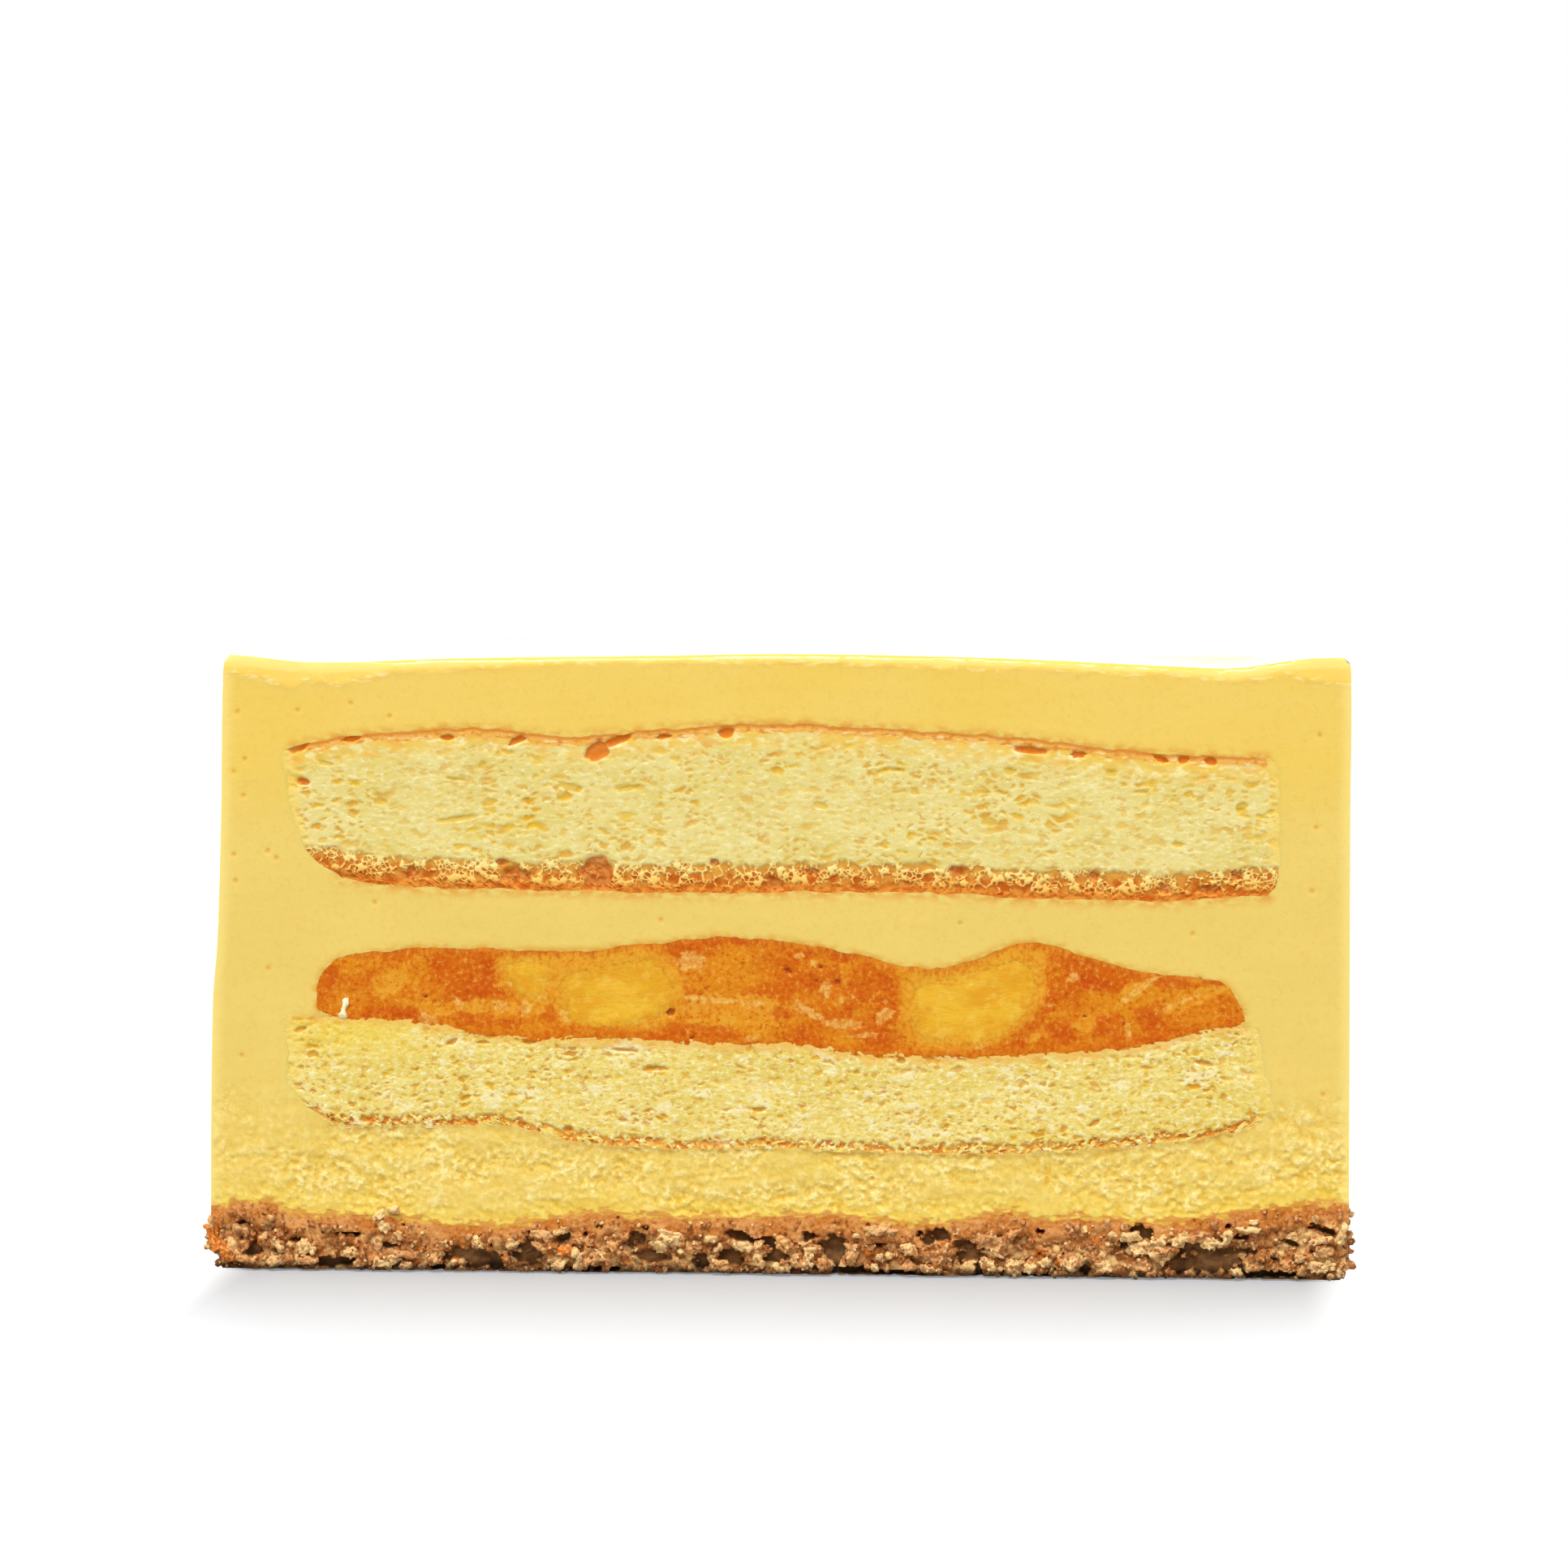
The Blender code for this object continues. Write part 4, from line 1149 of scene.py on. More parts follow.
def fruit_piece(name, corners):
    """A cut piece of fruit: a fine disc at the cut, drawn in towards a round back."""
    outline = smooth_outline(corners, 14)
    middle = outline.mean(axis=0)
    count = len(outline)
    reach = np.linspace(0, 1, FRUIT_RINGS + 1)[1:]
    disc = middle + reach[:, None, None] * (outline - middle)[None]
    distance = -signed_distance(disc[..., 0].ravel(), disc[..., 1].ravel(), outline).reshape(disc.shape[:2])
    dome = CUT_Y - FRUIT_STANDS_OUT + FRUIT_RIM_DIP * hump(np.maximum(distance, 0), FRUIT_RIM_WIDTH)
    rings = [np.stack([disc[..., 0], dome, disc[..., 1]], axis=-1).reshape(-1, 3)]
    for depth, scale in FRUIT_BACK:
        ring = middle + (outline - middle) * scale
        rings.append(np.column_stack([ring[:, 0], np.full(count, CUT_Y + depth), ring[:, 1]]))
    points = np.concatenate([*rings, [[middle[0], CUT_Y - FRUIT_STANDS_OUT, middle[1]]]])
    number = np.arange(len(points) - 1).reshape(-1, count)
    following = np.roll(number, -1, axis=1)
    faces = quads(number[:-1], following[:-1], following[1:], number[1:])
    faces += [[len(points) - 1, following[0, i], number[0, i]] for i in range(count)]
    faces.append(number[-1].tolist())
    piece = make_mesh(name + "_flesh", points, faces, recalculate=True)
    from_outline = np.zeros(len(points))
    from_outline[: distance.size] = np.maximum(distance.ravel(), 0)
    from_outline[-1] = distance.max() + 1
    front = np.arange(len(points)) < distance.size
    front[-1] = True
    store_values(piece, from_outline=from_outline, front=front)
    return piece


tree, mesh, place, size = new_growth("fruit flesh", {"Fibre": 0.1, "Swell": JELLY_SWELL})
fibre = clouds(place, 1.6, 0.6, seed=55.0, detail=3.0) - 0.5
swell = clouds(place, 4, 3, seed=43.0) - 0.5
inward = fibre * size["Fibre"] * stored(tree, "from_outline").rise(0.0, 0.4) + swell * size["Swell"]
end_growth(push(mesh, inward * stored(tree, "front")), fruit_finish)
for name, corners in FRUIT_PIECES.items():
    piece = fruit_piece(name, corners)
    grow(piece, tree)
    finish_piece(piece, "mango_fruit", name)

# %% [markdown]
# ## Bodies from the ring
# The mousse and the base fill the ring, so both are half discs with a flat cut face, a round rim, a top and
# a foot. The cut face is covered with a triangle pattern that leaves the layers' outlines open, and each
# outline runs back into the body as a pocket, which is where the sponges and the filling sit.

# %% Runs of points round a layer's outline
EDGE_STEP = 0.33


def edge_run(layer, side, start, stop):
    """Shares (across, up) along one side of a layer, without the last one."""
    ends = layer.point(np.array([0.0, 1.0]), 0.5)[:, 0]
    lines = layer.lines(np.array([0.0]))
    length = np.ptp(ends) if side in ("bottom", "top") else float(lines[1][0] - lines[0][0])
    count = max(2, round(length * abs(stop - start) / EDGE_STEP))
    way = np.linspace(start, stop, count + 1)[:-1]
    fixed = np.full_like(way, side in ("top", "right"))
    return np.column_stack([way, fixed] if side in ("bottom", "top") else [fixed, way])


def share_across(layer, x):
    """The share of a layer's top line that lies left of x."""
    left, right = layer.reach(np.array([1.0]))
    return float((x + left[0]) / (left[0] + right[0]))


filling_foot = filling.point(np.array([0.0, 1.0]), 0.0)[:, 0]
foot_left, foot_right = (share_across(lower_sponge, x) for x in filling_foot)
UPPER_RUNS = [
    (upper_sponge, "bottom", 0, 1), (upper_sponge, "right", 0, 1), (upper_sponge, "top", 1, 0),
    (upper_sponge, "left", 1, 0),
]
LOWER_RUNS = [
    (lower_sponge, "bottom", 0, 1), (lower_sponge, "right", 0, 1), (lower_sponge, "top", 1, foot_right),
    (filling, "right", 0, 1), (filling, "top", 1, 0), (filling, "left", 1, 0),
    (lower_sponge, "top", foot_left, 0), (lower_sponge, "left", 1, 0),
]
holes = [[(layer, edge_run(layer, *way)) for layer, *way in runs] for runs in (UPPER_RUNS, LOWER_RUNS)]


def hole_ring(hole, angle=0.0):
    """The points of a hole's outline, at the cut or further round the ring."""
    return np.concatenate([layer.point(run[:, 0], run[:, 1], 0.0, angle) for layer, run in hole])


print("hole outlines have", [len(hole_ring(hole)) for hole in holes], "points")

# %% A half disc with a fine cut face
def plan_points(reach, steps):
    """Points over half a disc, close together near the cut: steps are (depth from, depth to, spacing)."""
    kept = []
    for near, far, step in steps:
        points = hex_points((-reach, CUT_Y + near), (reach, CUT_Y + far), step)
        radius = np.hypot(points[:, 0], points[:, 1] - CUT_Y)
        kept.append(points[(radius < reach - step * 0.6) & (points[:, 1] > CUT_Y + step * 0.6)])
    return np.concatenate(kept)


CIRCLES = (0.2, 0.45)
CIRCLE_POINTS = 10
CLEARED_ROUND_SPOT = 0.72


def finer_round(points, spots):
    """Replaces the points near each spot by small circles of points round it."""
    turn = np.arange(CIRCLE_POINTS) / CIRCLE_POINTS * math.tau
    for x, z in spots:
        points = points[np.hypot(points[:, 0] - x, points[:, 1] - z) > CLEARED_ROUND_SPOT]
        circles = [(x + r * math.cos(a), z + r * math.sin(a)) for r in CIRCLES for a in turn]
        points = np.concatenate([points, [(x, z)], circles])
    return points


CLEARED_BY_EDGE = 0.7


def ring_body(name, layer, holes, face_steps, edge_points, rim_rows, spokes, plan_steps, spots=()):
    """A closed half disc: cut face with holes and pockets, rim, top and foot.

    face_steps are heights from and to with the spacing between them, and plan_steps are the same for depths.
    """
    across = np.linspace(0, 1, edge_points + 1)
    share = np.linspace(0, 1, rim_rows + 1)
    sides = [
        layer.point(across[:-1], 0.0), layer.point(1.0, share[:-1]),
        layer.point(across[:0:-1], 1.0), layer.point(0.0, share[:0:-1]),
    ]
    loops = [np.concatenate(sides)] + [hole_ring(hole) for hole in holes]
    corners = np.concatenate(loops)
    low, high = corners[:, [0, 2]].min(axis=0), corners[:, [0, 2]].max(axis=0)
    rows = [
        hex_points((low[0], max(start, low[1])), (high[0], stop), step) for start, stop, step in face_steps
    ]
    inner = finer_round(np.concatenate(rows), spots)

    def solid(x, z):
        inside = layer.inside(x, z)
        for hole in holes:
            for other in {id(part): part for part, _ in hole}.values():
                inside &= ~other.inside(x, z)
        return inside

    inner = inner[solid(inner[:, 0], inner[:, 1])]
    inner = inner[nearest(inner, corners[:, [0, 2]]) > face_steps[0][2] * CLEARED_BY_EDGE]
    flat = np.concatenate([corners[:, [0, 2]], inner])
    starts = np.cumsum([0] + [len(loop) for loop in loops])
    runs = [list(range(a, b)) for a, b in zip(starts, starts[1:])]
    points = [np.column_stack([flat[:, 0], np.full(len(flat), CUT_Y), flat[:, 1]])]
    points[0][: len(corners)] = corners
    faces = triangulated(flat, runs, solid)
    total = len(flat)

    angle = np.linspace(0, math.pi, spokes + 1)[:, None]
    left, right = layer.reach(share[None])
    reach = right + (left - right) * (0.5 - 0.5 * np.cos(angle))
    x, y = reach * np.cos(angle), CUT_Y + reach * np.sin(angle)
    bottom, top = layer.bottom(x, y), layer.top(x, y)
    rim = np.stack([x, y, bottom * (1 - share) + top * share], axis=-1)
    number = total + np.arange(rim[..., 0].size).reshape(rim.shape[:2])
    faces += quads(number[:-1, :-1], number[1:, :-1], number[1:, 1:], number[:-1, 1:])
    points.append(rim.reshape(-1, 3))
    total += rim[..., 0].size

    for row, height in ((0, layer.bottom), (-1, layer.top)):
        edge = np.concatenate([layer.point(across[:-1], float(share[row]))[:, :2], rim[:-1, row, :2]])
        cap = np.concatenate([edge, plan_points(float(reach[:, row].min()), plan_steps)])
        made = triangulated(cap, [list(range(len(edge)))], lambda x, y: y > CUT_Y + 1e-6, total)
        faces += made
        points.append(np.column_stack([cap, height(cap[:, 0], cap[:, 1])]))
        total += len(cap)

    for hole, run in zip(holes, runs[1:]):
        last = np.array(run)
        for back in BACK_ANGLES[::2]:
            ring = hole_ring(hole, math.radians(back))
            fresh = total + np.arange(len(ring))
            faces += quads(last, np.roll(last, -1), np.roll(fresh, -1), fresh)
            points.append(ring)
            total += len(ring)
            last = fresh
        faces.append(last.tolist())
    points, faces = welded(np.concatenate(points), faces)
    return make_mesh(name, points, faces, recalculate=True)


# %% [markdown]
# ## Mousse
# Mousse is airy cream: satin where the knife passed, with a few burst bubbles, and curdled near the base,
# where the knife dragged crumbs through it. The glaze of the flat top has been pulled over the cut edge as
# a thin bright lip that ends in a broken ridge.

# %% Mousse: burst bubbles at the cut, as x and z in millimetres
MOUSSE_BUBBLES = [
    (-66.4, 68.8), (-58.9, 69.0), (-52.3, 69.9), (-47.5, 68.3), (-66.9, 61.4), (-65.5, 63.0), (-66.9, 51.2),
    (-66.7, 48.0), (-65.7, 58.5), (-62.7, 51.7), (-61.6, 50.8), (-49.4, 45.4), (-62.7, 37.2), (66.3, 66.2),
    (65.4, 47.3), (51.0, 42.1), (65.9, 55.0), (-14.0, 43.4), (22.7, 43.2), (66.8, 22.6), (-66.0, 26.4),
    (-30.0, 12.4), (12.0, 11.8),
]

# %% Mousse: mesh
mousse_body = ring_body(
    "mousse_body", mousse_layer, holes, face_steps=[(0, 17.5, 0.27), (17.8, 80, 0.38)], edge_points=400,
    rim_rows=80, spokes=150, plan_steps=[(0.4, 6, 0.7), (6, 70, 2.2)], spots=MOUSSE_BUBBLES,
)
print("mousse mesh has", len(mousse_body.data.vertices), "points")

# %% Mousse: lip along the top edge, as x and how far it hangs down in millimetres
LIP = [
    (-68, 2.2), (-62, 2.8), (-57, 2.6), (-51, 2.0), (-47, 1.6), (-36, 1.2), (-20, 0.8), (0, 1.0), (24, 1.3),
    (33, 1.0), (38, 1.1), (47, 1.1), (56, 1.5), (64, 1.9), (68, 2.5),
]
LIP_ROUND = 0.55
LIP_RIDGE = 0.1
LIP_DEPTH = 1.2
LIP_GLOSS = 0.35
GLAZE_DEPTH = 2.5
WALL_FOOT = 7
WALL_HEIGHT = 69
MOUSSE_EDGE_DIP = 0.015
ON_CUT = 1e-3
FAR_OFF = 20.0


def closeness(points, layer, share, reach):
    """From 1 at the foot (share 0) or top (share 1) of a layer's outline down to 0 further off."""
    line = layer.point(np.linspace(0, 1, 500), share)[:, [0, 2]]
    return hump(nearest(points, line), reach)


places = points_of(mousse_body)
x, behind, z = places[:, 0], places[:, 1] - CUT_Y, places[:, 2]
hang = curve_through(LIP)(x) * (1 + 0.22 * wander(x, 2.3, 61) + 0.1 * wander(x, 0.8, 62))
down = (cake_top(x, places[:, 1]) - z) / hang
roll = LIP_ROUND * np.clip(1 - down, 0, 1) ** 2.2
ridge = LIP_RIDGE * hump(down - 1, 0.16) * (0.6 + 0.5 * wander(x, 1.3, 63))
front = behind < ON_CUT
rings = np.concatenate([hole_ring(hole) for hole in holes])[:, [0, 2]]
from_hole = np.full(len(places), FAR_OFF)
from_hole[front] = nearest(places[front][:, [0, 2]], rings)
left, right = mousse_layer.reach(np.clip((z - WALL_FOOT) / WALL_HEIGHT, 0, 1))
from_side = np.minimum(x + left, right - x)
edge_dip = MOUSSE_EDGE_DIP * hump(from_hole, 0.3) * front
places[:, 1] += (roll - ridge) * np.exp(-behind / LIP_DEPTH) + edge_dip
mousse_body.data.vertices.foreach_set("co", (places * MM).astype(np.float32).ravel())
above_base = z - base_layer.lines(x)[1]
from_edge = np.minimum(np.minimum(from_side, from_hole), above_base)
flat = places[front][:, [0, 2]]
browned, juicy, bubble = np.zeros((3, len(places)))
for layer, share, reach, strength in (
    (upper_sponge, 0.0, 0.9, 1.0), (upper_sponge, 1.0, 0.75, 1.0), (lower_sponge, 0.0, 0.7, 0.5),
):
    browned[front] = np.maximum(browned[front], strength * closeness(flat, layer, share, reach))
filling_edge = np.concatenate([
    filling.point(run[:, 0], run[:, 1]) for layer, run in holes[1] if layer is filling
])
juicy[front] = hump(nearest(flat, filling_edge[:, [0, 2]]), 0.6)
bubble[front] = np.clip((0.34 - nearest(flat, MOUSSE_BUBBLES)) / 0.2, 0, 1)
glazed = np.clip(1 - (cake_top(x, behind + CUT_Y) - z) / GLAZE_DEPTH, 0, 1) * ~front
gloss = glazed + LIP_GLOSS * front * np.clip((1.0 - down) / 0.5, 0, 1)
store_values(
    mousse_body,
    front=front * np.clip(from_edge / 0.5, 0, 1),
    outside=~front,
    lip=front * np.clip((1.06 - down) / 0.12, 0, 1),
    ridge=front * hump(down - 1.02, 0.2),
    from_side=np.where(front, from_side, FAR_OFF),
    above_base=np.where(front, above_base, FAR_OFF),
    browned=browned, juicy=juicy, bubble=bubble, gloss=gloss, glazed=glazed,
)

# %% Mousse: curdled foot, the same for relief and colour
def curd_pattern(place):
    """Where the mousse is curdled, and its lumps, each from 0 to 1."""
    low = pick(place, 2).frayed(clouds(place, 10, 5, seed=86.0), 12.0).rise(27, 13)
    low = low * stored(place.tree, "front") * clouds(place, 7, 4, seed=88.0).rise(0.3, 0.62, 0.35, 1.0)
    fine = grit(bent(place, 0.5, 1.2, seed=81.0), 0.85, 0.75, seed=82.0)
    coarse = clouds(bent(place, 1.0, 3.0, seed=84.0), 3.6, 1.8, seed=87.0, detail=3.0)
    return low, fine * 0.7 + coarse * 0.3


# %% Mousse: finish
LIP_LIGHT = 1.12
mousse_finish, mousse_shader, _ = new_finish(
    "mousse", soft=(0.35, 1.5, (1.0, 0.75, 0.3)), Roughness=0.5, Specular_IOR_Level=0.15, Coat_Roughness=0.12,
)
tree = mousse_finish.node_tree
place = rest_place(tree)
height = pick(place, 2)
low, lumps = curd_pattern(place)
pits = cells(bent(place, 0.4, 1.0, seed=89.0), 1.3, 1.0, seed=90.0)
above = stored(tree, "above_base")
rich = above.frayed(clouds(place, 6, 2, seed=76.0), 3.0).rise(3.4, 0.6)
buttered = above.frayed(clouds(place, 1.2, 0.7, seed=75.0, detail=4.0), 3.4).rise(0.7, 0.0)
stain = clouds(place, 1.6, 0.9, seed=77.0, detail=3.0).rise(0.36, 0.6)
# Painted highlights: pale glints along the ridge at the foot of the lip.
painted_glints = stored(tree, "ridge") * clouds(place, 1.4, 0.5, seed=74.0, detail=3.0).rise(0.52, 0.64)
# Painted reflection: the glazed top turns almost white where it is seen edge-on, as if it mirrored the white
# room.
painted_grazing_reflection = field(tree, "ShaderNodeLayerWeight", output="Facing").rise(0.76, 0.87) * stored(tree, "glazed")
cream = coats(
    blend(height.rise(64, 52), (242, 207, 96), (237, 208, 110)),
    (height.rise(30, 12) * 0.7, (240, 210, 104)),
    (clouds(place, 14, 8, seed=71.0).rise(0.35, 0.65) * 0.35, (245, 215, 118)),
    (clouds(place, 0.7, seed=72.0, detail=3.0).rise(0.5, 0.72) * 0.25, (228, 188, 84)),
    # The curd's two coats follow the lumps that also shape its relief: pale as a painted highlight where they
    # stand out, darker yellow as painted shade where they sink.
    (low * lumps.rise(0.49, 0.39) * 0.85, (232, 184, 54)),
    (low * lumps.rise(0.51, 0.61) * 0.95, (254, 238, 164)),
    (low * pits.rise(0.3, 0.18) * 0.5, (226, 172, 44)),
    (rich * 0.4, (242, 206, 60)),
    (buttered * 0.8, (204, 130, 50)),
    (stored(tree, "browned") * stain * 0.8, (230, 156, 56)),
    (stored(tree, "juicy") * stain * 0.75, (232, 160, 40)),
    (stored(tree, "bubble") * 0.75, (234, 170, 40)),
    # Painted light: paler within about 2 mm of the left and right ends, where light shines through the
    # mousse.
    (stored(tree, "from_side").rise(1.8, 0.1) * 0.6, (252, 230, 138)),
    (stored(tree, "lip") * 0.8, paint(254, 198, 88, LIP_LIGHT)),
    (painted_glints * 0.6, (255, 240, 180)),
    (stored(tree, "outside") * 0.9, (253, 206, 92)),
    (stored(tree, "glazed") * 0.8, (222, 186, 84)),
    (painted_grazing_reflection, (0.98, 0.9, 0.74, 1.0)),
)
plug(cream, mousse_shader, "Base Color")
plug(stored(tree, "gloss"), mousse_shader, "Coat Weight")
roughen(mousse_shader, clouds(place, 0.4, seed=73.0, detail=3.0), 0.03)

# %% Mousse: relief
tree, mesh, place, size = new_growth(
    "cut mousse", {"Curd": 0.34, "Smear": 0.04, "Bubble depth": 0.1, "Grain": 0.05},
)
low, lumps = curd_pattern(place)
smear = clouds(place, 16, 1.4, seed=83.0) - 0.5
grain = clouds(place, 0.8, seed=85.0, detail=3.0) - 0.5
inward = low * lumps.rise(0.66, 0.34) * size["Curd"] + smear * size["Smear"]
inward = inward + stored(tree, "bubble") * size["Bubble depth"] + grain * size["Grain"]
end_growth(push(mesh, inward * stored(tree, "front")), mousse_finish)
grow(mousse_body, tree)
finish_piece(mousse_body, "mousse", "mousse")

# %% [markdown]
# ## Crumb base
# Biscuit crumb pressed with butter holds together as a sandy mass, and breaks at its outside into lumps and
# single crumbs. A wall with deep coarse noise gives the mass and the hollows at its foot, which are painted
# dark as shade. Lumps, crumbs and grains in three sizes are then scattered over the wall, turned at random
# and broken up by noise once they are real geometry.

# %% Base: hollows at the cut, as x, z, half width, half height in mm and turn in degrees
BASE_HOLLOWS = [
    (-54.8, 0.9, 2.4, 0.6, 0), (-41.8, 0.4, 1.6, 0.5, 0), (-37.2, 1.8, 2.9, 1.1, -6),
    (-34.6, 1.0, 0.8, 1.0, 0), (-30.2, 2.0, 2.6, 1.3, 0), (-26.1, 4.4, 1.3, 0.7, 28),
    (-17.2, 3.8, 1.8, 1.0, 0), (-15.4, 2.0, 2.6, 1.0, -8), (-9.3, 1.3, 1.2, 0.9, 0),
    (-5.4, 2.2, 1.5, 1.3, 0), (-3.8, 4.4, 1.8, 0.5, -12), (0.2, 2.1, 1.2, 0.8, 0),
    (0.0, 3.7, 1.7, 0.6, -10), (7.6, 2.8, 1.7, 2.0, 0), (8.6, 0.5, 2.6, 0.5, 0), (4.4, 4.6, 1.0, 0.5, 0),
    (19.4, 4.8, 1.7, 0.8, 12), (23.8, 3.0, 2.0, 1.4, 0), (25.1, 1.0, 0.7, 1.2, 0),
    (32.6, 5.6, 0.9, 0.35, -6), (30.6, 0.3, 3.0, 0.35, 0), (38.0, 0.8, 1.0, 0.6, 0),
    (44.9, 5.3, 1.3, 1.0, 0), (42.7, 4.1, 0.7, 0.4, 0), (52.6, 2.5, 4.4, 1.8, -4), (49.5, 1.0, 0.9, 0.8, 0),
    (60.1, 2.3, 1.1, 0.35, 3), (55.3, 6.4, 0.5, 0.3, 20), (57.2, 5.1, 1.0, 0.25, 0),
    (63.2, 4.3, 1.3, 0.25, -18), (-65.9, 5.6, 1.1, 0.3, 0), (-53.3, 4.3, 1.0, 0.3, 0),
    (-59.5, 3.6, 0.8, 0.3, 0), (-64.5, 2.6, 0.9, 0.7, 0), (-21.8, 0.4, 3.4, 0.3, 0),
    (14.0, 0.3, 4.0, 0.3, 0), (60.5, 0.5, 4.0, 0.35, 0), (-47.8, 3.0, 0.8, 0.25, 0),
    (12.8, 3.6, 1.5, 0.3, 10), (67.0, 6.0, 1.4, 0.3, -20),
]

# %% Base: lumps that stand out, as x, z, half width, half height in mm, turn in degrees and tint
BASE_LUMPS = [
    (-69.7, 3.9, 0.8, 2.0, 28, 0.99), (-68.0, 2.0, 0.7, 1.5, 45, 0.97), (-69.9, 5.8, 0.4, 1.1, 5, 0.6),
    (-66.2, 4.9, 1.3, 0.5, -20, 0.5), (-61.6, 3.2, 0.6, 1.2, 25, 0.7), (-58.3, 2.7, 1.2, 0.9, 30, 0.75),
    (-61.8, 1.0, 1.3, 0.7, 10, 0.6), (-57.8, 1.1, 1.6, 0.5, 0, 0.5), (-65.6, 1.2, 1.5, 0.5, -15, 0.45),
    (-52.2, 2.1, 1.1, 0.8, 0, 0.7), (-51.5, 0.8, 0.9, 0.5, 0, 0.5), (-48.6, 0.8, 1.3, 0.6, 0, 0.8),
    (-45.5, 0.6, 0.9, 0.5, 0, 0.6), (-48.3, 5.3, 1.0, 0.7, -30, 0.75), (-48.9, 6.8, 1.0, 0.7, 10, 0.95),
    (-47.2, 7.5, 0.8, 0.5, 0, 0.93), (-46.0, 2.0, 2.0, 0.5, -12, 0.4), (-36.6, 3.4, 1.1, 0.6, -35, 0.8),
    (-32.5, 3.3, 0.8, 0.9, 0, 0.65), (-28.8, 4.7, 1.6, 0.7, 5, 0.6), (-26.7, 5.0, 0.8, 0.4, 20, 0.75),
    (-29.0, 3.1, 1.2, 0.5, -40, 0.5), (-26.8, 1.2, 1.4, 1.0, 20, 0.7), (-25.8, 2.5, 1.2, 0.8, 20, 0.98),
    (-24.3, 2.1, 1.0, 0.6, -45, 0.8), (-13.0, 4.4, 1.9, 1.1, -18, 0.85), (-7.9, 4.3, 0.9, 0.5, 0, 0.7),
    (-9.6, 3.5, 0.7, 0.6, 0, 0.5), (-6.5, 0.9, 1.3, 0.8, 0, 0.55), (-4.2, 3.5, 1.7, 0.6, -12, 0.7),
    (-2.0, 2.4, 0.8, 2.0, 0, 0.65), (0.8, 0.8, 1.5, 0.7, 0, 0.8), (1.2, 3.6, 1.3, 0.9, -48, 0.96),
    (2.5, 1.8, 0.6, 1.0, 0, 0.6), (4.3, 2.2, 1.0, 1.5, 0, 0.7), (5.8, 1.2, 0.6, 0.9, 0, 0.5),
    (12.6, 5.6, 2.2, 0.8, 8, 0.6), (9.3, 2.9, 0.9, 1.4, 0, 0.55), (18.9, 0.8, 1.3, 0.6, 0, 0.6),
    (19.5, 2.3, 1.5, 1.0, 0, 0.4), (16.6, 1.0, 1.0, 0.6, 0, 0.45), (14.0, 2.4, 0.5, 0.4, 0, 0.8),
    (26.3, 1.4, 1.0, 0.9, 0, 0.75), (27.5, 3.8, 2.0, 1.3, -20, 0.5), (27.2, 2.9, 1.2, 0.3, -35, 0.93),
    (31.3, 1.1, 0.9, 0.7, 0, 0.8), (33.2, 1.8, 0.9, 0.6, 35, 0.8), (29.5, 5.4, 1.2, 0.4, 30, 0.5),
    (36.2, 1.8, 0.9, 1.1, 0, 0.7), (40.1, 1.2, 1.2, 1.1, 0, 0.7), (43.4, 5.0, 1.4, 0.7, 0, 0.7),
    (44.8, 3.6, 1.7, 0.9, 0, 0.85), (44.9, 1.6, 1.3, 1.2, 0, 0.5), (47.2, 4.2, 1.1, 1.1, 0, 0.75),
    (49.6, 4.7, 1.7, 0.9, 28, 0.85), (53.2, 4.3, 1.0, 0.8, 0, 0.93), (54.4, 4.2, 0.6, 0.5, 0, 0.8),
    (55.4, 5.4, 1.0, 0.6, 25, 0.8), (57.8, 6.1, 1.9, 0.45, 0, 0.9), (58.5, 7.0, 0.8, 0.4, 0, 0.8),
    (56.4, 0.7, 0.8, 0.7, 0, 0.85), (66.6, 1.6, 1.9, 0.8, 6, 0.75), (67.0, 3.4, 1.5, 0.7, -8, 0.55),
    (66.6, 4.8, 1.7, 0.5, 10, 0.7), (64.0, 2.6, 0.8, 0.6, 0, 0.6), (64.2, 0.9, 0.7, 0.5, 0, 0.55),
    (69.2, 5.6, 0.6, 1.5, -20, 0.94), (46.0, 0.5, 0.8, 0.4, 0, 0.4),
]

# %% Base: mesh
UNDERCUT = 1.7
UNDERCUT_HEIGHT = 2.4
RIM_WIDTH = 2.2
CORNER_WIDTH = 0.8
base_core = ring_body(
    "base_core", base_layer, [], face_steps=[(0, 12, 0.27)], edge_points=480, rim_rows=26, spokes=560,
    plan_steps=[(0.5, 70, 3.0)],
)
places = points_of(base_core)
x, behind, z = places[:, 0], places[:, 1] - CUT_Y, places[:, 2]
outward = np.column_stack([x, np.maximum(behind, 0)]) / np.maximum(np.hypot(x, behind), 1e-6)[:, None]
front = behind < ON_CUT
radius = np.hypot(x, behind)
on_rim = (~front) & (radius > RADIUS - RIM_WIDTH) | (front & (np.abs(x) > RADIUS - CORNER_WIDTH))
undercut = UNDERCUT * np.clip((UNDERCUT_HEIGHT - z) / UNDERCUT_HEIGHT, 0, 1) ** 1.4 * on_rim
places[:, 0] -= outward[:, 0] * undercut
places[:, 1] -= outward[:, 1] * undercut * ~front
base_core.data.vertices.foreach_set("co", (places * MM).astype(np.float32).ravel())
outward *= 0.6
outward[front & ~on_rim] = (0, -1)
corner = front & on_rim
outward[corner] = np.column_stack([np.sign(x[corner]) * 0.4, np.full(corner.sum(), -0.6)])
wall = front | on_rim
height_here = base_layer.lines(x, places[:, 1])[1]
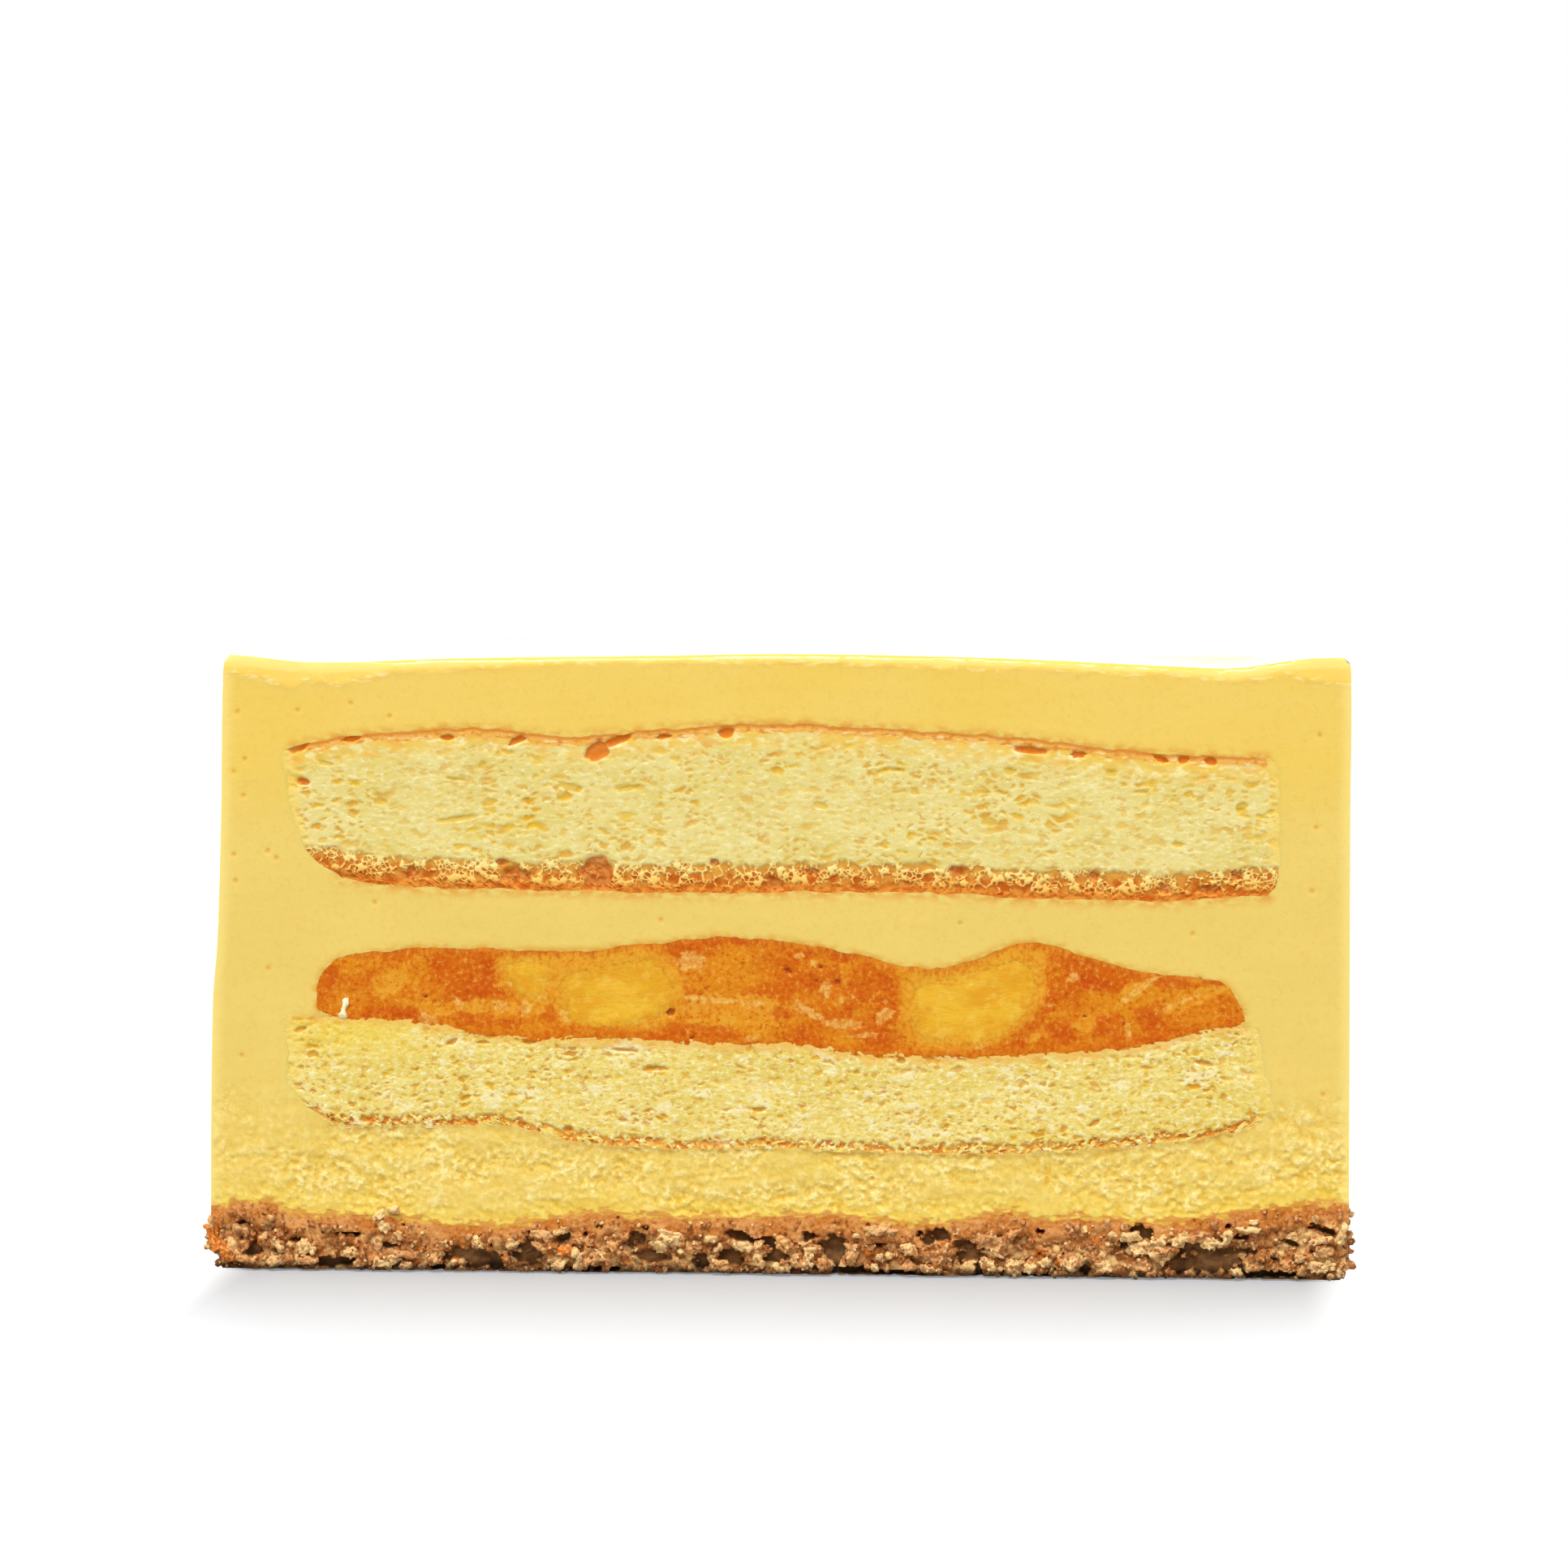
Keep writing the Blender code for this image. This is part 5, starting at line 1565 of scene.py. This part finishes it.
store_values(
    base_core,
    out_x=outward[:, 0] * wall,
    out_y=outward[:, 1] * wall,
    wall=wall * np.clip((height_here - z) / 0.5, 0, 1),
    below_top=height_here - z,
    cave=hollow_share(places, BASE_HOLLOWS, SOFT_PATCH) * front,
    cut=front,
)
print("base wall has", int(wall.sum()), "points")

# %% Base: pattern, the same for relief and colour
def crumb_pattern(place, below):
    """Lumps of pressed crumb: how loose, how far back each lies, gaps, caves, two random tints and sand."""
    broken = bent(place, 0.5, 1.1, seed=101.0)
    big = cells(broken, 2.6, 2.1, seed=102.0)
    small = cells(broken, 1.1, 0.9, seed=103.0)
    big_random, small_random = Field(big.socket.node, 1), Field(small.socket.node, 1)
    loose = below.frayed(clouds(place, 3.4, 2.4, seed=95.0), 3.0).rise(1.6, 3.6)
    back = pick(big_random).rise(0.1, 0.9) * 0.6 + pick(small_random).rise(0.1, 0.9) * 0.4
    gaps = big.rise(0.4, 0.8) * 0.5 + small.rise(0.4, 0.8) * 0.5
    foot = pick(place, 2).rise(2.4, 0.5)
    caves = (clouds(place, 5.5, 3.5, seed=104.0).rise(0.47, 0.58) * foot).largest(
        clouds(place, 4.6, 2.6, seed=106.0).rise(0.58, 0.66) * loose * 0.7
    )
    ragged = stored(place.tree, "cave").frayed(clouds(place, 1.2, seed=105.0, detail=4.0), 2.6)
    ragged = ragged.rise(0.4, 0.75)
    caves = (caves * (1.0 - stored(place.tree, "cut"))).largest(ragged)
    tint = pick(big_random, 1) * 0.45 + pick(small_random, 1) * 0.55
    sand = grit(place, 0.5, seed=91.0)
    return loose, back, gaps, caves, tint, pick(small_random, 2), sand


# %% Base: finish
crumb_finish, crumb_shader, _ = new_finish("biscuit_crumb", Roughness=0.85, Specular_IOR_Level=0.12)
tree = crumb_finish.node_tree
place, below = rest_place(tree), stored(tree, "below_top")
loose, back, gaps, caves, tint, rare, sand = crumb_pattern(place, below)
# The sand coats follow the sand that also shapes the wall's relief: partly the crumb's own specks, and partly
# a painted highlight where it stands out and painted shade where it sinks.
pressed = coats(
    blend(clouds(place, 4, 2, seed=92.0, detail=3.0).rise(0.36, 0.64), (208, 128, 56), (228, 160, 90)),
    (sand.rise(0.53, 0.66) * 0.5, (240, 188, 120)),
    (sand.rise(0.46, 0.36) * 0.6, (150, 76, 24)),
)
lump = coats(
    blend(tint.rise(0.25, 0.5), (184, 112, 52), (220, 152, 88)),
    (tint.rise(0.5, 0.7), (246, 200, 130)),
    (rare.rise(0.94, 0.95) * 0.8, (220, 118, 30)),
    (sand.rise(0.46, 0.36) * 0.6, (136, 72, 26)),
    (sand.rise(0.54, 0.64) * 0.5, (250, 212, 146)),
)
# Painted shade: the caves are painted dark brown, and almost black near the table.
hollow = blend(clouds(place, 2.0, 1.2, seed=97.0, detail=3.0).rise(0.4, 0.6), (108, 72, 40), (158, 112, 66))
hollow = blend(pick(place, 2).frayed(clouds(place, 2.4, seed=99.0), 2.0).rise(1.4, 0.2), hollow, (36, 24, 16))
moist_top = below.frayed(clouds(place, 1.2, 0.7, seed=98.0, detail=4.0), 2.2).rise(0.8, 0.1)
smeared = below.frayed(clouds(place, 1.6, 0.9, seed=115.0, detail=4.0), 3.4).rise(0.3, -0.1)
crumb = coats(
    blend(loose, pressed, lump),
    # Painted shade: darker in the gaps between lumps, in the caves, where the wall is pushed in deepest and
    # along the foot at the table.
    (gaps.rise(0.45, 0.85) * loose * 0.5, (118, 60, 22)),
    (caves.rise(0.3, 0.7) * 0.9, hollow),
    (stored(tree, "depth").rise(1.8, 2.8) * 0.6, (66, 36, 16)),
    (pick(place, 2).frayed(clouds(place, 1.6, seed=94.0), 1.6).rise(1.5, 0.2) * 0.85, (58, 34, 17)),
    (moist_top * 0.5, (212, 126, 36)),
    (smeared * 0.85, (236, 192, 78)),
)
plug(crumb, crumb_shader, "Base Color")
roughen(crumb_shader, sand, 0.18)

loose_finish, loose_shader, place = new_finish(
    "loose_crumb", soft=(0.2, 0.6, (1.0, 0.6, 0.3)), Roughness=0.8, Specular_IOR_Level=0.15,
)
tree = loose_finish.node_tree
tint = stored(tree, "tint")
sand = grit(place, 0.45, seed=96.0)
# Painted shade: crumbs darken within about a millimetre of the table. The sand coats are partly the crumb's
# own specks, and partly a painted highlight on the bumps that sand raises and painted shade in their hollows.
bit = coats(
    blend(tint.rise(0.0, 0.45), (182, 110, 50), (216, 150, 88)),
    (tint.rise(0.42, 0.8), (250, 209, 141)),
    (tint.rise(0.955, 0.965), (230, 128, 34)),
    (sand.rise(0.47, 0.37) * 0.6, (150, 84, 36)),
    (sand.rise(0.53, 0.63) * 0.5, (255, 226, 172)),
    (pick(place, 2).frayed(sand, 1.5).rise(1.3, 0.1) * 0.75, (84, 50, 26)),
)
plug(bit, loose_shader, "Base Color")
roughen(loose_shader, sand, 0.15)

# %% Base: craggy wall
tree, mesh, place, size = new_growth(
    "pressed crumb", {"Lump depth": 1.0, "Gap depth": 0.6, "Cave depth": 1.9, "Bulge": 0.25, "Sand": 0.6},
)
loose, back, gaps, caves, _, _, sand = crumb_pattern(place, stored(tree, "below_top"))
inward = loose * (back * size["Lump depth"] + gaps * size["Gap depth"] - size["Bulge"])
inward = (inward + (0.5 - sand) * size["Sand"]) * (1.0 - caves * 0.8) + caves * size["Cave depth"]
inward = inward * stored(tree, "wall")
mesh = keep(mesh, "depth", inward)
inward = inward * (-1.0 * MM)
offset = field(tree, "ShaderNodeCombineXYZ", (
    stored(tree, "out_x") * inward, stored(tree, "out_y") * inward, 0.0,
))
mesh = field(tree, "GeometryNodeSetPosition", {"Geometry": mesh, "Offset": offset})
end_growth(mesh, crumb_finish)
grow(base_core, tree)
finish_piece(base_core, "crumb", "crumb_base")

# %% [markdown]
# Crumbs cling to the wall. Points for them are laid round the cut and the rim with a fixed seed, each with
# a shape, a turn, a tint and a thickness. One tree turns any such set of points into crumbs: a rounded
# block on each point, stretched and turned as the point says, made real, then broken up by noise, so that
# no two are alike.

# %% Base: points for crumbs
CUT_WAY = 2
LUMPS_STAND_OUT = 0.9
CRUMBED_WIDTH = 0.985
RAY_START = 6
RAY_LENGTH = 12


def wall_surface(*objects):
    """The meshes as one surface that rays can be cast on, in millimetres."""
    points, faces = [], []
    for obj in objects:
        first = len(points)
        points += points_of(obj).tolist()
        faces += [[corner + first for corner in face.vertices] for face in obj.data.polygons]
    return BVHTree.FromPolygons(points, faces)


def crumb_points(name, wall, count, radius, sunk, seed, placed=()):
    """Points for crumbs on the wall of the base. radius is a usual crumb's, sunk the share of it in the wall.

    The way round goes from 0 to CUT_WAY along the cut, and then round the rim by one for each radian.
    """
    rng = np.random.default_rng(seed)
    kept = []
    for x, z, wide, high, turn, tint in placed:
        deep = 0.5 + 0.7 * min(wide, high)
        kept.append((x, CUT_Y + deep - LUMPS_STAND_OUT, z, wide, deep, high, 0, -math.radians(turn), 0, tint))
    for i in range(count):
        way = (i + rng.uniform(0.05, 0.95)) / count * (CUT_WAY + math.pi)
        size, share, tint = radius * rng.uniform(0.6, 1.3), rng.beta(0.9, 1.3), rng.uniform(0, 1) ** 2 * 0.95
        if way < CUT_WAY:
            in_x, in_y = 0.0, 1.0
            x, y = (way - 1) * RADIUS * CRUMBED_WIDTH, CUT_Y
        else:
            in_x, in_y = -math.cos(way - CUT_WAY), -math.sin(way - CUT_WAY)
            x, y = -RADIUS * in_x, CUT_Y - RADIUS * in_y
        top = float(base_layer.top(np.float64(x), np.float64(y))) - size * 0.8
        z = size * 0.6 + share * max(0.0, top - size * 0.6)
        shape, turns = size * rng.uniform((0.75, 0.65, 0.7), (1.15, 0.95, 1.0)), rng.uniform(0, math.tau, 3)
        start = Vector((x - RAY_START * in_x, y - RAY_START * in_y, z))
        hit = wall.ray_cast(start, Vector((in_x, in_y, 0)), RAY_LENGTH)[0]
        in_hollow = any(math.hypot((x - a) / w, (z - b) / h) < 1 for a, b, w, h, _ in BASE_HOLLOWS)
        if hit is None or (way < CUT_WAY and in_hollow):
            continue
        out = min(size * (1 - sunk), (hit - start).length - RAY_START + LUMPS_STAND_OUT - size)
        kept.append((hit.x - in_x * out, hit.y - in_y * out, z, *shape, *turns, tint))
    spots, shapes, turns, tints = np.split(np.array(kept), [3, 6, 9], axis=1)
    cloud = make_mesh(name, spots, [])
    store_values(cloud, tint=tints[:, 0], thickness=shapes.min(axis=1))
    for label, numbers in (("shape", shapes), ("turn", turns)):
        attribute = cloud.data.attributes.new(label, "FLOAT_VECTOR", "POINT")
        attribute.data.foreach_set("vector", numbers.astype(np.float32).ravel())
    return cloud


BLOCK_SIZE = 1.5
BLOCK_SQUARENESS = 0.42


def crumb_growth(name, corners, breakage):
    """Turns points into crumbs: blocks with so many corners to an edge, rounded and broken up by noise."""
    tree, mesh, _, size = new_growth(name, {"Breakage": breakage})
    block = field(tree, "GeometryNodeMeshCube", ((BLOCK_SIZE * MM,) * 3, corners, corners, corners))
    at = field(tree, "GeometryNodeInputPosition")
    ball = vector_math("SCALE", vector_math("NORMALIZE", at), (1 - BLOCK_SQUARENESS) * MM)
    rounded = vector_math("ADD", vector_math("SCALE", at, BLOCK_SQUARENESS), ball)
    block = field(tree, "GeometryNodeSetPosition", {"Geometry": block, "Position": rounded})
    shape, turn = (
        field(tree, "GeometryNodeInputNamedAttribute", (label,), data_type="FLOAT_VECTOR")
        for label in ("shape", "turn")
    )
    turn = field(tree, "FunctionNodeEulerToRotation", (turn,))
    points = field(tree, "GeometryNodeMeshToPoints", (mesh,))
    put = field(tree, "GeometryNodeInstanceOnPoints", {
        "Points": points, "Instance": block, "Rotation": turn, "Scale": shape,
    })
    real = field(tree, "GeometryNodeRealizeInstances", (put,))
    place = vector_math("SCALE", field(tree, "GeometryNodeInputPosition"), 1 / MM)
    normal = field(tree, "GeometryNodeInputNormal")
    coarse = clouds(place, 1.5, seed=111.0) - 0.5
    fine = clouds(place, 0.5, seed=112.0) - 0.5
    knobs = 0.4 - cells(bent(place, 0.3, 0.8, seed=113.0), 0.75, 0.7, seed=114.0)
    swell = (coarse * 2.2 + fine * 1.4 + knobs * 1.2) * size["Breakage"] * stored(tree, "thickness") * MM
    offset = vector_math("SCALE", normal, swell)
    broken = field(tree, "GeometryNodeSetPosition", {"Geometry": real, "Offset": offset})
    end_growth(broken, loose_finish)
    return tree


# %% Base: sets of crumbs, as count, radius in mm, share sunk, corners to an edge, breakage and placed lumps
CRUMB_SETS = {
    "base_lumps": (70, 1.1, 0.5, 10, 0.75, BASE_LUMPS),
    "base_crumbs": (640, 0.6, 0.6, 4, 1.0, ()),
    "base_grains": (2200, 0.28, 0.45, 3, 1.0, ()),
}
pieces = [base_core]
for seed, (name, (count, radius, sunk, corners, breakage, placed)) in enumerate(CRUMB_SETS.items(), 121):
    cloud = crumb_points(name, wall_surface(*pieces), count, radius, sunk, seed, placed)
    grow(cloud, crumb_growth(name.replace("_", " "), corners, breakage))
    finish_piece(cloud, "crumb")
    pieces.append(cloud)
